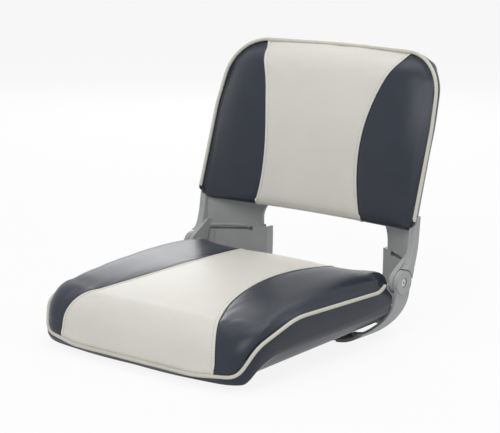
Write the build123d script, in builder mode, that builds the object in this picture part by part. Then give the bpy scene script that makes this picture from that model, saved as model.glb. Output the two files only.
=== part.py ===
import os

from build123d import *

# Folding boat seat: a moulded seat shell with a padded vinyl cushion, and a moulded
# back shell in a padded sleeve, which folds forward over the seat on two hinge pins.
# Millimetres. Origin: centre of the four mounting inserts, on the plane that the
# seat rests on. +Z is up, +Y is to the rear, and left is the -X side.

# Hinge line and hinge hardware
hinge_y = 180.0
hinge_z = 90.0
ear_radius = 18.8
ear_thickness = 8.0
ear_face_x = 215.0
pin_radius = 4.0
pin_head_radius = 6.0
pin_head_height = 3.5
pin_recess_radius = 7.0
pin_recess_depth = 5.0
pin_tail = 1.0
socket_radius = 2.4
socket_depth = 2.0
washer_radius = 11.0
washer_thickness = 1.0
bush_wall = 2.0
bush_flange_radius = 9.0
bush_flange_thickness = 1.0
nut_across_flats = 13.0
nut_height = 6.5
nut_gap = 0.1
running_clearance = 0.05
seated_clearance = 0.02

# Covers and the clearances between stacked pieces
cover_thickness = 1.6
fit_gap = 0.3
seam_gap = 0.4
piping_radius = 3.0
overrun = 60.0

# Seat cushion, outer surfaces
seat_half_width = 206.0
seat_front = -194.0
seat_rear = 181.0
seat_top = 107.0
seat_crown = 15.0
seat_front_bottom = 8.0
seat_rear_bottom = 22.0
seat_front_corner = 46.0
seat_rear_corner = 43.0
seat_front_flare = 38.0
seat_rear_flare = 26.0
seat_toe = 5.0
nose_lean = 3.0
nose_run = 52.0
rear_roll = 24.0
rear_fall = 6.0
seat_heel = 8.0

# Across the seat: half width, front corner, rear corner, crown and flare
seat_station_shares = (
    (0.00, 0.00, 0.00, 0.00, 0.00),
    (0.45, 0.02, 0.04, 0.20, 0.00),
    (0.80, 0.24, 0.22, 0.56, 0.16),
    (0.94, 0.54, 0.52, 0.82, 0.52),
    (1.00, 0.96, 1.00, 1.00, 1.00),
)
# Nose of the seat: heights of its four points, and the run of the middle one
nose_height_shares = (0.08, 0.42, 0.69, 0.81)
nose_middle_share = 0.34
roll_middle_share = 0.29

# Piping of the seat, from the end beside the right ear to the front
seat_pipe_end = (196.5, 155.0, 87.0)
seat_pipe_rear = (206.0, 128.0, 84.0)
seat_pipe_side = (207.0, -74.0, 89.0)
seat_pipe_corner = (204.5, -158.0, 64.0)
seat_pipe_toe = (186.0, -180.0, 22.0)
seat_pipe_front = (116.0, -193.5, 16.5)
seat_pipe_radii = (24.0, 120.0, 30.0, 24.0, 60.0)

# Seams of the seat seen from above, right side
seat_seam_rear = (103.0, 200.0)
seat_seam_waist = (79.0, 20.0)
seat_seam_knee = (103.0, -98.0)
seat_seam_calf = (127.0, -148.0)
seat_seam_toe = (170.0, -210.0)

# Seat shell
shell_wall = 4.0
deck_z = 44.0
pocket_half_width = 187.0
pocket_front = -184.0
pocket_rear = 170.0
pocket_bottom_half_width = 122.0
pocket_bottom_front = -168.0
pocket_bottom_rear = 160.0
pocket_corner = 40.0
skirt_wall = 5.0
skirt_half_width = 92.0
skirt_front = -104.0
skirt_side_end = 76.0
skirt_rear_half_width = 146.0
skirt_rear_start = 122.0
skirt_rear = 150.0
skirt_corner = 12.0
hem_margin = 26.0
ear_proud = 3.0
arm_bend = 72.0
arm_foot_rear = 150.0
arm_foot_front = 108.0
arm_line_foot = (112.0, 20.0)
arm_line_middle = (154.0, 42.0)
arm_line_top = (163.0, 84.0)
arm_rear_middle = (190.0, 46.0)
arm_rear_top = 86.0
bowl_rear = 286.0
bowl_half_width = 207.0
bowl_corner_y = 192.0
bowl_front = 156.0
bowl_bottom = 18.0
bowl_taper = 30.0

# Mounting inserts, in a square pattern of five inches
insert_pitch = 127.0
insert_radius = 5.5
insert_length = 18.0
insert_bore_radius = 3.0
insert_flange_radius = 8.0
insert_flange_thickness = 1.5
boss_radius = 13.0
rib_thickness = 4.0

# Back cushion, outer surfaces
back_bottom = 162.0
back_height = 261.0
back_half_width = 213.5
back_depth = 141.0
back_edge_depth = 14.0
back_shoulder_share = 0.75
back_bulge_share = 0.35
back_bottom_corner = 24.0
beyond_share = 0.4

# Up the back: height, half width, edge, front middle, front shoulder and rear middle
back_station_shares = (
    (0.00, 1.000, 0.13, 0.262, 0.205, 0.82),
    (0.22, 1.000, 0.26, 0.300, 0.240, 0.83),
    (0.45, 0.998, 0.40, 0.345, 0.300, 0.86),
    (0.66, 0.980, 0.55, 0.420, 0.410, 0.91),
    (0.835, 0.937, 0.67, 0.525, 0.535, 0.95),
    (0.94, 0.862, 0.75, 0.660, 0.680, 0.98),
    (1.00, 0.700, 0.84, 0.900, 0.880, 1.00),
)

# Piping of the back, from its lower end on the right to the middle of the top
back_pipe_end = (214.0, 204.0, 182.0)
back_pipe_side = (213.5, 247.0, 316.0)
back_pipe_corner = (203.0, 285.0, 424.0)
back_pipe_top = (0.0, 312.0, 424.0)
back_pipe_radii = (200.0, 75.0, 300.0)

# Seams of the back seen from the front, right side
back_seam_foot = (110.0, 150.0)
back_seam_waist = (93.0, 250.0)
back_seam_chest = (104.0, 338.0)
back_seam_neck = (119.0, 382.0)
back_seam_top = (150.0, 432.0)

# Back shell: legs below the sleeve
foot_z = 60.0
leg_neck_z = 110.0
foot_shares = (0.045, 0.83)
leg_neck_shares = (0.105, 0.83)
band_gap = 0.8
band_wall = 5.0
band_edge_wall = 6.0
leg_half_width = 211.0
foot_half_width = 204.0
opening_half_width = 127.0
opening_top = 170.0
opening_corner = 42.0
tab_half_width = 118.0
tab_outer = 141.0
tab_top = 115.0
toe_band_outer = 192.0
toe_band_thickness = 3.0
slot_height = 3.2
slot_z = 109.0
slot_inner = 143.0
slot_outer = 202.0
slot_hole = 6.0
flange_thickness = 3.5
flange_depth = 8.0
strip_thickness = 8.0
strip_bottom = 112.0
strip_top = 192.0
strip_bottom_front = 202.0
strip_bottom_rear = 214.0
strip_top_front = 212.5
strip_top_rear = 219.0
ear_reach_y = 208.0
ear_reach_z = 122.0
ear_reach_radius = 6.0

# Stack of pieces along the hinge line, from the outside inwards
outer_ear_inner = ear_face_x - ear_thickness
inner_ear_outer = outer_ear_inner - washer_thickness
inner_ear_inner = inner_ear_outer - ear_thickness
bush_inner_x = inner_ear_inner - bush_flange_thickness
nut_outer = bush_inner_x - nut_gap
pin_inner_end = nut_outer - nut_height - pin_tail
recess_floor = ear_face_x - pin_recess_depth
inner_inset = cover_thickness + fit_gap
ledge_z = foot_z - fit_gap
shell_top = back_bottom + back_station_shares[-2][0] * back_height
sides = (-1, 1)


def mirrored(rows):
    """Rows of shares from one side of the seat to the other."""
    other = [(-row[0],) + row[1:] for row in rows[:0:-1]]
    return other + list(rows)


def seat_form(inset):
    """Closed shape of the seat cushion, with every face drawn in by the inset."""
    with BuildPart() as form:
        for across, front_corner, rear_corner, crown, flare in mirrored(seat_station_shares):
            front = seat_front + front_corner * seat_front_corner + inset
            rear = seat_rear - rear_corner * seat_rear_corner - inset
            top = seat_top - crown * seat_crown - inset
            low = seat_front_bottom + flare * seat_front_flare + inset
            heel = seat_rear_bottom + flare * seat_rear_flare + inset
            nose = [low + share * (top - low) for share in nose_height_shares]
            roll = roll_middle_share * rear_roll
            with BuildSketch(Plane.YZ.offset(across * (seat_half_width - inset))):
                with BuildLine():
                    Line((rear - seat_heel, heel), (front + seat_toe, low))
                    Line((front + seat_toe, low), (front, nose[0]))
                    Line((front, nose[0]), (front + nose_lean, nose[1]))
                    ThreePointArc(
                        (front + nose_lean, nose[1]),
                        (front + nose_middle_share * nose_run, nose[2]),
                        (front + nose_run, nose[3]),
                    )
                    ThreePointArc(
                        (front + nose_run, nose[3]),
                        ((front + nose_run + rear - rear_roll) / 2, top),
                        (rear - rear_roll, top - rear_fall),
                    )
                    ThreePointArc(
                        (rear - rear_roll, top - rear_fall),
                        (rear - roll, top - rear_fall - roll),
                        (rear, top - rear_fall - rear_roll),
                    )
                    Line((rear, top - rear_fall - rear_roll), (rear - seat_heel, heel))
                make_face()
        loft()
    return form.part


def side_prism(edges, half_width):
    """Outline seen from the side, run across the seat to the half width on both sides."""
    with BuildPart() as prism:
        with BuildSketch(Plane.YZ):
            with BuildLine():
                add(edges)
            make_face()
        extrude(amount=half_width, both=True)
    return prism.part


def side_view(point):
    """Place of a point seen from the side."""
    return (point[1], point[2])


def seat_skirt_room(gap):
    """Room below the seat's piping, as far back as the arms, which the gusset fills."""
    points = [side_view(point) for point in (seat_pipe_rear, seat_pipe_side, seat_pipe_corner, seat_pipe_toe)]
    nose = (seat_front - overrun, seat_pipe_front[2] - gap)
    low = -overrun
    start = (arm_line_top[0] - gap, seat_pipe_end[2] - gap)
    path = [start] + [(y + gap / 2, z - gap) for y, z in points] + [nose]
    with BuildLine() as outline:
        FilletPolyline(*path, radius=seat_pipe_radii[:-1])
        Polyline(nose, (nose[0], low), (arm_foot_front - gap, low), (arm_line_foot[0] - gap, arm_line_foot[1]))
        ThreePointArc(
            (arm_line_foot[0] - gap, arm_line_foot[1]),
            (arm_line_middle[0] - gap, arm_line_middle[1] + gap),
            (arm_line_top[0] - gap, arm_line_top[1]),
        )
        Line((arm_line_top[0] - gap, arm_line_top[1]), start)
    return side_prism(outline.line, ear_face_x)


def arm_shape(grow):
    """Both arms with their ears: a curved band seen from the front, cut to its side outline."""
    arm_face_x = ear_face_x - ear_proud
    foot_x = arm_face_x - arm_bend
    thickness = ear_thickness - ear_proud
    with BuildPart() as arms:
        with BuildSketch(Plane.XZ):
            with BuildLine():
                CenterArc((foot_x, arm_bend), arm_bend + grow, 270, 90)
                Polyline(
                    (arm_face_x + grow, arm_bend),
                    (arm_face_x + grow, hinge_z + overrun),
                    (outer_ear_inner - grow, hinge_z + overrun),
                    (outer_ear_inner - grow, arm_bend),
                )
                CenterArc((foot_x, arm_bend), arm_bend - thickness - grow, 0, -90)
                Line((foot_x, thickness + grow), (foot_x, -grow))
            make_face()
            mirror(about=Plane.YZ)
        extrude(amount=-seat_rear - overrun)
        with BuildSketch(Plane.YZ) as outline:
            with BuildLine():
                Polyline(
                    (arm_foot_rear + grow, -grow),
                    (arm_foot_front - grow, -grow),
                    (arm_line_foot[0] - grow, arm_line_foot[1]),
                )
                ThreePointArc(
                    (arm_line_foot[0] - grow, arm_line_foot[1]),
                    (arm_line_middle[0] - grow, arm_line_middle[1] + grow),
                    (arm_line_top[0] - grow, arm_line_top[1]),
                )
                Line((arm_line_top[0] - grow, arm_line_top[1]), (hinge_y + ear_radius + grow, arm_rear_top))
                ThreePointArc(
                    (hinge_y + ear_radius + grow, arm_rear_top),
                    (arm_rear_middle[0] + grow, arm_rear_middle[1] - grow),
                    (arm_foot_rear + grow, -grow),
                )
            make_face()
            with Locations((hinge_y, hinge_z)):
                Circle(ear_radius + grow)
        extrude(amount=ear_face_x + overrun, both=True, mode=Mode.INTERSECT)
    return arms.part


def back_row(row):
    """Height, half width and the four depths of one row up the back."""
    height, width, edge, middle, shoulder, rear = row
    depths = [hinge_y + share * back_depth for share in (edge, middle, shoulder, rear)]
    return [back_bottom + height * back_height, width * back_half_width] + depths


def back_form(inset):
    """Closed shape of the padded back, with every face drawn in by the inset."""
    with BuildPart() as form:
        for row in back_station_shares:
            z, half, edge, middle, shoulder, rear = back_row(row)
            lift = inset if row[0] == 0 else 0
            sink = inset if row[0] == 1 else 0
            half = half - inset
            brow = back_shoulder_share * half
            front_edge = edge + inset
            rear_edge = edge + back_edge_depth - inset
            middle = middle + inset
            shoulder = shoulder + inset
            bulge = shoulder + back_bulge_share * (front_edge - shoulder)
            with BuildSketch(Plane.XY.offset(z + lift - sink)):
                with BuildLine():
                    Line((half, front_edge), (half, rear_edge))
                    ThreePointArc((half, rear_edge), (0, rear - inset), (-half, rear_edge))
                    Line((-half, rear_edge), (-half, front_edge))
                    ThreePointArc((-half, front_edge), (-(brow + half) / 2, bulge), (-brow, shoulder))
                    ThreePointArc((-brow, shoulder), (0, middle), (brow, shoulder))
                    ThreePointArc((brow, shoulder), ((brow + half) / 2, bulge), (half, front_edge))
                make_face()
        loft()
        with BuildSketch(Plane.XZ):
            with Locations((0, back_bottom + inset)):
                Rectangle(
                    2 * (back_half_width - inset),
                    2 * back_height,
                    align=(Align.CENTER, Align.MIN),
                )
            fillet(vertices().group_by(Axis.Y)[0], back_bottom_corner - inset)
        extrude(amount=-hinge_y - 2 * back_depth, mode=Mode.INTERSECT)
    return form.part


def band_rows():
    """Rows of the back shell's wall: height, half width, edge depth and middle depth."""
    legs = []
    for z, (edge, rear) in ((foot_z, foot_shares), (leg_neck_z, leg_neck_shares)):
        legs.append((z, leg_half_width, hinge_y + edge * back_depth, hinge_y + rear * back_depth))
    rows = []
    for row in back_station_shares:
        z, half, edge, middle, shoulder, rear = back_row(row)
        rows.append((z, min(half - inner_inset, leg_half_width), edge, rear))
    inset = inner_inset + band_gap
    return [(z, half, edge + back_edge_depth - inset, rear - inset) for z, half, edge, rear in legs + rows]


def shell_band(front_grow, rear_grow):
    """Curved wall of the back shell from its feet to its top, before it is cut to outline."""
    with BuildPart() as band:
        for z, half, edge, rear in stretched(band_rows()):
            front_edge = edge - band_edge_wall - front_grow
            front = rear - band_wall - front_grow
            with BuildSketch(Plane.XY.offset(z)):
                with BuildLine():
                    Line((half, front_edge), (half, edge + rear_grow))
                    ThreePointArc((half, edge + rear_grow), (0, rear + rear_grow), (-half, edge + rear_grow))
                    Line((-half, edge + rear_grow), (-half, front_edge))
                    ThreePointArc((-half, front_edge), (0, front), (half, front_edge))
                make_face()
        loft()
        with BuildSketch(Plane.XY.offset(foot_z)):
            Rectangle(4 * back_half_width, 4 * back_half_width)
        extrude(amount=shell_top - foot_z, mode=Mode.INTERSECT)
    return band.part


def stretched(rows):
    """Rows with one more row past each end."""
    return [beyond(rows[0], rows[1])] + rows + [beyond(rows[-1], rows[-2])]


def beyond(row, inner):
    """Row that carries on past an end row by a share of the last step."""
    return tuple(end + beyond_share * (end - last) for end, last in zip(row, inner))


def rear_room(rows):
    """Room behind a curved sheet, given by height, half width, edge depth and middle depth."""
    far = hinge_y + back_depth + overrun
    with BuildPart() as room:
        for z, half, edge, middle in stretched(rows):
            with BuildSketch(Plane.XY.offset(z)):
                with BuildLine():
                    ThreePointArc((half, edge), (0, middle), (-half, edge))
                    Polyline(
                        (-half, edge),
                        (-half - overrun, edge),
                        (-half - overrun, far),
                        (half + overrun, far),
                        (half + overrun, edge),
                        (half, edge),
                    )
                make_face()
        loft()
    return room.part


def edge_strips(grow):
    """Stiff edge strips of the legs, which run up into the sleeve."""
    with BuildPart() as strips:
        for side in sides:
            for z, front, rear in (
                (strip_bottom - grow, strip_bottom_front, strip_bottom_rear),
                (strip_top + grow, strip_top_front, strip_top_rear),
            ):
                with BuildSketch(Plane.XY.offset(z)):
                    with Locations((side * (leg_half_width - strip_thickness / 2), (front + rear) / 2)):
                        Rectangle(strip_thickness + 2 * grow, rear - front + 2 * grow)
            loft()
    return strips.part


def piping(points, radii, radius):
    """Round cord along a route and its mirror image, with a given radius at each corner."""
    other = [(-x, y, z) for x, y, z in points]
    if points[-1][0] == 0:
        route = points + other[-2::-1]
        bends = list(radii) + list(radii[-2::-1])
    else:
        route = points + other[::-1]
        bends = list(radii) + list(radii[::-1])
    with BuildPart() as cord:
        with BuildLine() as path:
            FilletPolyline(*route, radius=bends)
        with BuildSketch(Plane(origin=path.line @ 0, z_dir=path.line % 0)):
            Circle(radius)
        sweep()
    return cord.part


def seat_seam_room(shift):
    """Room of the seat's middle panel seen from above, its seams moved out by the shift."""
    rear, waist, knee, calf, toe = [
        (x + shift, y)
        for x, y in (seat_seam_rear, seat_seam_waist, seat_seam_knee, seat_seam_calf, seat_seam_toe)
    ]
    with BuildPart() as room:
        with BuildSketch(Plane.XY):
            with BuildLine():
                Line((0, rear[1]), rear)
                ThreePointArc(rear, waist, knee)
                ThreePointArc(knee, calf, toe)
                Line(toe, (0, toe[1]))
                Line((0, toe[1]), (0, rear[1]))
            make_face()
            mirror(about=Plane.YZ)
        extrude(amount=seat_top + overrun, both=True)
    return room.part


def back_seam_room(shift):
    """Room of the back's middle panel seen from the front, its seams moved out by the shift."""
    foot, waist, chest, neck, top = [
        (x + shift, z)
        for x, z in (back_seam_foot, back_seam_waist, back_seam_chest, back_seam_neck, back_seam_top)
    ]
    with BuildPart() as room:
        with BuildSketch(Plane.XZ):
            with BuildLine():
                Line((0, foot[1]), foot)
                ThreePointArc(foot, waist, chest)
                ThreePointArc(chest, neck, top)
                Line(top, (0, top[1]))
                Line((0, top[1]), (0, foot[1]))
            make_face()
            mirror(about=Plane.YZ)
        extrude(amount=-hinge_y - 2 * back_depth)
    return room.part


def hem_room(grow):
    """Opening of the seat cover on the underside, inside its stapled hem."""
    half = pocket_bottom_half_width + hem_margin
    with BuildPart() as room:
        with BuildSketch(Plane.XY):
            with Locations((0, (pocket_bottom_front + seat_rear) / 2)):
                RectangleRounded(
                    2 * (half + grow),
                    seat_rear - pocket_bottom_front + 2 * grow,
                    pocket_corner,
                )
        extrude(amount=deck_z / 2 + seat_rear_bottom / 2, both=True)
    return room.part


def ledge_outline(inset, front):
    """Outline of the rear ledge seen from above, drawn in and lowered by the inset."""
    half = bowl_half_width - inset
    with BuildSketch(Plane.XY.offset(ledge_z - inset)) as outline:
        with BuildLine():
            ThreePointArc((-half, bowl_corner_y), (0, bowl_rear - inset), (half, bowl_corner_y))
            Polyline((half, bowl_corner_y), (half, front), (-half, front), (-half, bowl_corner_y))
        make_face()
    return outline.sketch


def hinge_disc(x, radius):
    """Round outline on the hinge line, on a plane square to it."""
    with BuildSketch(Plane.YZ.offset(x)) as outline:
        with Locations((hinge_y, hinge_z)):
            Circle(radius)
    return outline.sketch


def front_cut(outline):
    """Outline drawn on the front plane, run back through the whole seat."""
    with BuildPart() as prism:
        extrude(outline, amount=-hinge_y - 2 * back_depth)
    return prism.part


def finish(piece, label):
    """Name a finished piece and write its file."""
    piece.part.label = label
    export_step(piece.part, f"parts/{label}.step")


os.makedirs("parts", exist_ok=True)

seat_points = [
    seat_pipe_end,
    seat_pipe_rear,
    seat_pipe_side,
    seat_pipe_corner,
    seat_pipe_toe,
    seat_pipe_front,
]
back_points = [back_pipe_end, back_pipe_side, back_pipe_corner, back_pipe_top]

seat_core = seat_form(inner_inset)
back_core = back_form(inner_inset)
seat_groove = piping(seat_points, seat_pipe_radii, piping_radius + seam_gap / 2)
back_groove = piping(back_points, back_pipe_radii, piping_radius + seam_gap / 2)
arm_room = arm_shape(fit_gap)

# Seat shell: a deck on a skirt and ribs, with a rear ledge and two arms
with BuildSketch() as skirt_plan:
    with BuildLine():
        Polyline(
            (0, skirt_front),
            (skirt_half_width, skirt_front),
            (skirt_half_width, skirt_side_end),
            (skirt_rear_half_width, skirt_rear_start),
            (skirt_rear_half_width, skirt_rear),
            (0, skirt_rear),
            (0, skirt_front),
        )
    make_face()
    mirror(about=Plane.YZ)
    fillet(vertices(), skirt_corner)
with BuildSketch() as skirt:
    add(skirt_plan.sketch)
    offset(amount=-skirt_wall, mode=Mode.SUBTRACT)
with BuildSketch() as ribs:
    with GridLocations(insert_pitch / 2, 0, 3, 1):
        Rectangle(rib_thickness, 2 * seat_half_width)
    with GridLocations(0, insert_pitch / 2, 1, 3):
        Rectangle(2 * seat_half_width, rib_thickness)
    add(skirt_plan.sketch, mode=Mode.INTERSECT)
    with GridLocations(insert_pitch, insert_pitch, 2, 2):
        Circle(boss_radius)

with BuildPart() as cushion_room:
    add(seat_form(-fit_gap))
    with BuildSketch(Plane.XY.offset(deck_z)):
        Rectangle(4 * seat_half_width, 4 * seat_half_width)
    extrude(amount=-deck_z - overrun, mode=Mode.SUBTRACT)

with BuildPart() as deck:
    add(seat_core)
    with BuildSketch(Plane.XY.offset(deck_z)):
        Rectangle(4 * seat_half_width, 4 * seat_half_width)
    extrude(amount=seat_top, mode=Mode.SUBTRACT)
    with BuildSketch(Plane.XY.offset(deck_z - shell_wall)) as pocket_top:
        with Locations((0, (pocket_front + pocket_rear) / 2)):
            RectangleRounded(2 * pocket_half_width, pocket_rear - pocket_front, pocket_corner)
    with BuildSketch(Plane.XY) as pocket_bottom:
        with Locations((0, (pocket_bottom_front + pocket_bottom_rear) / 2)):
            RectangleRounded(
                2 * pocket_bottom_half_width,
                pocket_bottom_rear - pocket_bottom_front,
                pocket_corner,
            )
    loft(sections=[pocket_top.sketch, pocket_bottom.sketch], mode=Mode.SUBTRACT)
    add(seat_groove, mode=Mode.SUBTRACT)

with BuildPart() as seat_shell:
    extrude(ledge_outline(0, bowl_front), amount=bowl_bottom - ledge_z, taper=bowl_taper)
    extrude(
        ledge_outline(shell_wall, seat_rear + shell_wall),
        amount=bowl_bottom - ledge_z,
        taper=bowl_taper,
        mode=Mode.SUBTRACT,
    )
    add(cushion_room.part, mode=Mode.SUBTRACT)
    add(deck.part)
    # Skirt, ribs and bosses down to the plane that the seat rests on
    extrude(skirt.sketch + ribs.sketch, amount=deck_z - shell_wall / 2)
    # Arms and ears
    add(arm_shape(0))
    for side in sides:
        extrude(hinge_disc(side * outer_ear_inner, ear_radius), amount=side * ear_thickness)
        extrude(
            hinge_disc(side * ear_face_x, pin_recess_radius),
            amount=-side * pin_recess_depth,
            mode=Mode.SUBTRACT,
        )
    extrude(
        hinge_disc(0, pin_radius + running_clearance),
        amount=ear_face_x,
        both=True,
        mode=Mode.SUBTRACT,
    )
    # Pockets of the mounting inserts
    with BuildSketch(Plane.XY):
        with GridLocations(insert_pitch, insert_pitch, 2, 2):
            Circle(insert_radius + seated_clearance)
    extrude(amount=insert_length, mode=Mode.SUBTRACT)
    with BuildSketch(Plane.XY):
        with GridLocations(insert_pitch, insert_pitch, 2, 2):
            Circle(insert_flange_radius + seated_clearance)
    extrude(amount=insert_flange_thickness, mode=Mode.SUBTRACT)
finish(seat_shell, "seat_shell")

with BuildPart() as mounting_inserts:
    with BuildSketch(Plane.XY):
        with GridLocations(insert_pitch, insert_pitch, 2, 2):
            Circle(insert_radius)
    extrude(amount=insert_length)
    with BuildSketch(Plane.XY):
        with GridLocations(insert_pitch, insert_pitch, 2, 2):
            Circle(insert_flange_radius)
    extrude(amount=insert_flange_thickness)
    with BuildSketch(Plane.XY):
        with GridLocations(insert_pitch, insert_pitch, 2, 2):
            Circle(insert_bore_radius)
    extrude(amount=insert_length, mode=Mode.SUBTRACT)
finish(mounting_inserts, "mounting_inserts")

# Seat foam, on the deck and inside the cover
with BuildPart() as seat_foam:
    add(seat_core)
    with BuildSketch(Plane.XY.offset(deck_z + fit_gap)):
        Rectangle(4 * seat_half_width, 4 * seat_half_width)
    extrude(amount=-deck_z - overrun, mode=Mode.SUBTRACT)
    add(seat_groove, mode=Mode.SUBTRACT)
    add(arm_room, mode=Mode.SUBTRACT)
finish(seat_foam, "seat_foam")

# Seat cover: a skin over the foam, parted at its seams and at the piping
with BuildPart() as seat_skin:
    add(seat_form(0))
    add(seat_form(cover_thickness), mode=Mode.SUBTRACT)
    add(seat_groove, mode=Mode.SUBTRACT)
    add(hem_room(0), mode=Mode.SUBTRACT)

with BuildPart() as seat_gusset:
    add(seat_skin.part)
    add(seat_skirt_room(seam_gap), mode=Mode.INTERSECT)
finish(seat_gusset, "seat_gusset")

with BuildPart() as seat_upper:
    add(seat_skin.part)
    add(seat_skirt_room(0), mode=Mode.SUBTRACT)
    add(arm_room, mode=Mode.SUBTRACT)
    with BuildSketch(Plane.XY.offset(foot_z + fit_gap)):
        with Locations((0, arm_foot_front)):
            Rectangle(4 * seat_half_width, seat_half_width, align=(Align.CENTER, Align.MIN))
    extrude(amount=-foot_z - overrun, mode=Mode.SUBTRACT)

with BuildPart() as seat_middle_panel:
    add(seat_upper.part)
    add(seat_seam_room(-seam_gap / 2), mode=Mode.INTERSECT)
finish(seat_middle_panel, "seat_middle_panel")

for side, name in zip(sides, ("left", "right")):
    with BuildPart() as seat_side_panel:
        add(seat_upper.part)
        add(seat_seam_room(seam_gap / 2), mode=Mode.SUBTRACT)
        with BuildSketch(Plane.YZ):
            Rectangle(4 * seat_half_width, 4 * seat_half_width)
        extrude(amount=-side * seat_half_width - side * overrun, mode=Mode.SUBTRACT)
    finish(seat_side_panel, f"seat_side_panel_{name}")

with BuildPart() as seat_piping:
    add(piping(seat_points, seat_pipe_radii, piping_radius))
finish(seat_piping, "seat_piping")

# Hinge hardware of each side
for side, name in zip(sides, ("left", "right")):
    with BuildPart() as hinge_pin:
        extrude(hinge_disc(side * recess_floor, pin_head_radius), amount=side * pin_head_height)
        fillet(edges().group_by(Axis.X)[(side - 1) // 2], pin_tail)
        extrude(hinge_disc(side * recess_floor, pin_radius), amount=side * (pin_inner_end - recess_floor))
        with BuildSketch(Plane.YZ.offset(side * (recess_floor + pin_head_height))):
            with Locations((hinge_y, hinge_z)):
                RegularPolygon(socket_radius, 6)
        extrude(amount=-side * socket_depth, mode=Mode.SUBTRACT)
    finish(hinge_pin, f"hinge_pin_{name}")

    with BuildPart() as hinge_washer:
        extrude(hinge_disc(side * inner_ear_outer, washer_radius), amount=side * washer_thickness)
        extrude(
            hinge_disc(side * inner_ear_outer, pin_radius + running_clearance),
            amount=side * washer_thickness,
            mode=Mode.SUBTRACT,
        )
    finish(hinge_washer, f"hinge_washer_{name}")

    with BuildPart() as hinge_bush:
        extrude(
            hinge_disc(side * inner_ear_inner, pin_radius + running_clearance + bush_wall),
            amount=side * ear_thickness,
        )
        extrude(
            hinge_disc(side * inner_ear_inner, bush_flange_radius),
            amount=-side * bush_flange_thickness,
        )
        extrude(
            hinge_disc(side * bush_inner_x, pin_radius + running_clearance),
            amount=side * (ear_thickness + bush_flange_thickness),
            mode=Mode.SUBTRACT,
        )
    finish(hinge_bush, f"hinge_bush_{name}")

    with BuildPart() as hinge_nut:
        with BuildSketch(Plane.YZ.offset(side * nut_outer)):
            with Locations((hinge_y, hinge_z)):
                RegularPolygon(nut_across_flats / 2, 6, major_radius=False)
                Circle(pin_radius + seated_clearance, mode=Mode.SUBTRACT)
        extrude(amount=-side * nut_height)
    finish(hinge_nut, f"hinge_nut_{name}")

# Back shell: a curved wall with two legs, their thick toe bands, edge strips and ears
with BuildSketch(Plane.XZ) as shell_outline:
    with Locations((0, foot_z)):
        Rectangle(2 * leg_half_width, shell_top - foot_z, align=(Align.CENTER, Align.MIN))
    for side in sides:
        with Locations((side * (foot_half_width + overrun / 2), strip_bottom - overrun / 2)):
            Rectangle(overrun, overrun, mode=Mode.SUBTRACT)
with BuildSketch(Plane.XZ) as opening_outline:
    with Locations((0, opening_top)):
        Rectangle(2 * opening_half_width, 2 * (opening_top - foot_z), align=(Align.CENTER, Align.MAX))
    fillet(vertices().group_by(Axis.Y)[-1], opening_corner)
with BuildSketch(Plane.XZ) as toe_outline:
    for side in sides:
        with Locations((side * (tab_half_width + toe_band_outer) / 2, foot_z)):
            Rectangle(
                toe_band_outer - tab_half_width,
                slot_z - foot_z,
                align=(Align.CENTER, Align.MIN),
            )
        with Locations((side * (tab_half_width + tab_outer) / 2, foot_z)):
            Rectangle(tab_outer - tab_half_width, tab_top - foot_z, align=(Align.CENTER, Align.MIN))
with BuildSketch(Plane.XZ) as slot_outline:
    for side in sides:
        with Locations((side * (slot_inner + slot_outer) / 2, slot_z)):
            Rectangle(slot_outer - slot_inner, slot_height, align=(Align.CENTER, Align.MIN))
        with Locations((side * slot_inner, slot_z + slot_height / 2)):
            Rectangle(slot_hole, slot_hole)

with BuildPart() as toe_bands:
    add(shell_band(toe_band_thickness, 0))
    add(front_cut(toe_outline.sketch), mode=Mode.INTERSECT)

with BuildPart() as flanges:
    add(shell_band(toe_band_thickness, flange_depth))
    with BuildSketch(Plane.XZ):
        for side in sides:
            with Locations((side * (tab_half_width + flange_thickness / 2), foot_z)):
                Rectangle(flange_thickness, tab_top - foot_z, align=(Align.CENTER, Align.MIN))
    extrude(amount=-hinge_y - 2 * back_depth, mode=Mode.INTERSECT)

with BuildPart() as back_shell:
    add(shell_band(0, 0))
    add(front_cut(shell_outline.sketch), mode=Mode.INTERSECT)
    add(front_cut(opening_outline.sketch), mode=Mode.SUBTRACT)
    add(toe_bands.part)
    add(flanges.part)
    add(front_cut(slot_outline.sketch), mode=Mode.SUBTRACT)
    add(edge_strips(0))
    for side in sides:
        with BuildSketch(Plane.YZ.offset(side * inner_ear_inner)):
            with Locations((hinge_y, hinge_z)):
                Circle(ear_radius)
            with Locations((ear_reach_y, ear_reach_z)):
                Circle(ear_reach_radius)
            make_hull()
        extrude(amount=side * ear_thickness)
        extrude(
            hinge_disc(side * bush_inner_x, pin_radius + running_clearance + bush_wall + seated_clearance),
            amount=side * 2 * ear_thickness,
            mode=Mode.SUBTRACT,
        )
finish(back_shell, "back_shell")

with BuildPart() as back_foam:
    add(back_core)
    add(
        rear_room(
            [
                (z, half, edge - band_edge_wall - fit_gap, rear - band_wall - fit_gap)
                for z, half, edge, rear in band_rows()
            ]
        ),
        mode=Mode.SUBTRACT,
    )
    add(edge_strips(fit_gap), mode=Mode.SUBTRACT)
    add(back_groove, mode=Mode.SUBTRACT)
finish(back_foam, "back_foam")

# Back cover: a sleeve parted at its seams and at the piping, open where the legs leave it
with BuildPart() as back_skin:
    add(back_form(0))
    add(back_form(cover_thickness), mode=Mode.SUBTRACT)
    add(back_groove, mode=Mode.SUBTRACT)
    add(shell_band(fit_gap / 2, fit_gap / 2), mode=Mode.SUBTRACT)
    add(edge_strips(fit_gap / 2), mode=Mode.SUBTRACT)

parting_rows = []
for row in back_station_shares:
    z, half, edge, middle, shoulder, rear = back_row(row)
    parting_rows.append((z, half, edge, (middle + rear) / 2))

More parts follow.
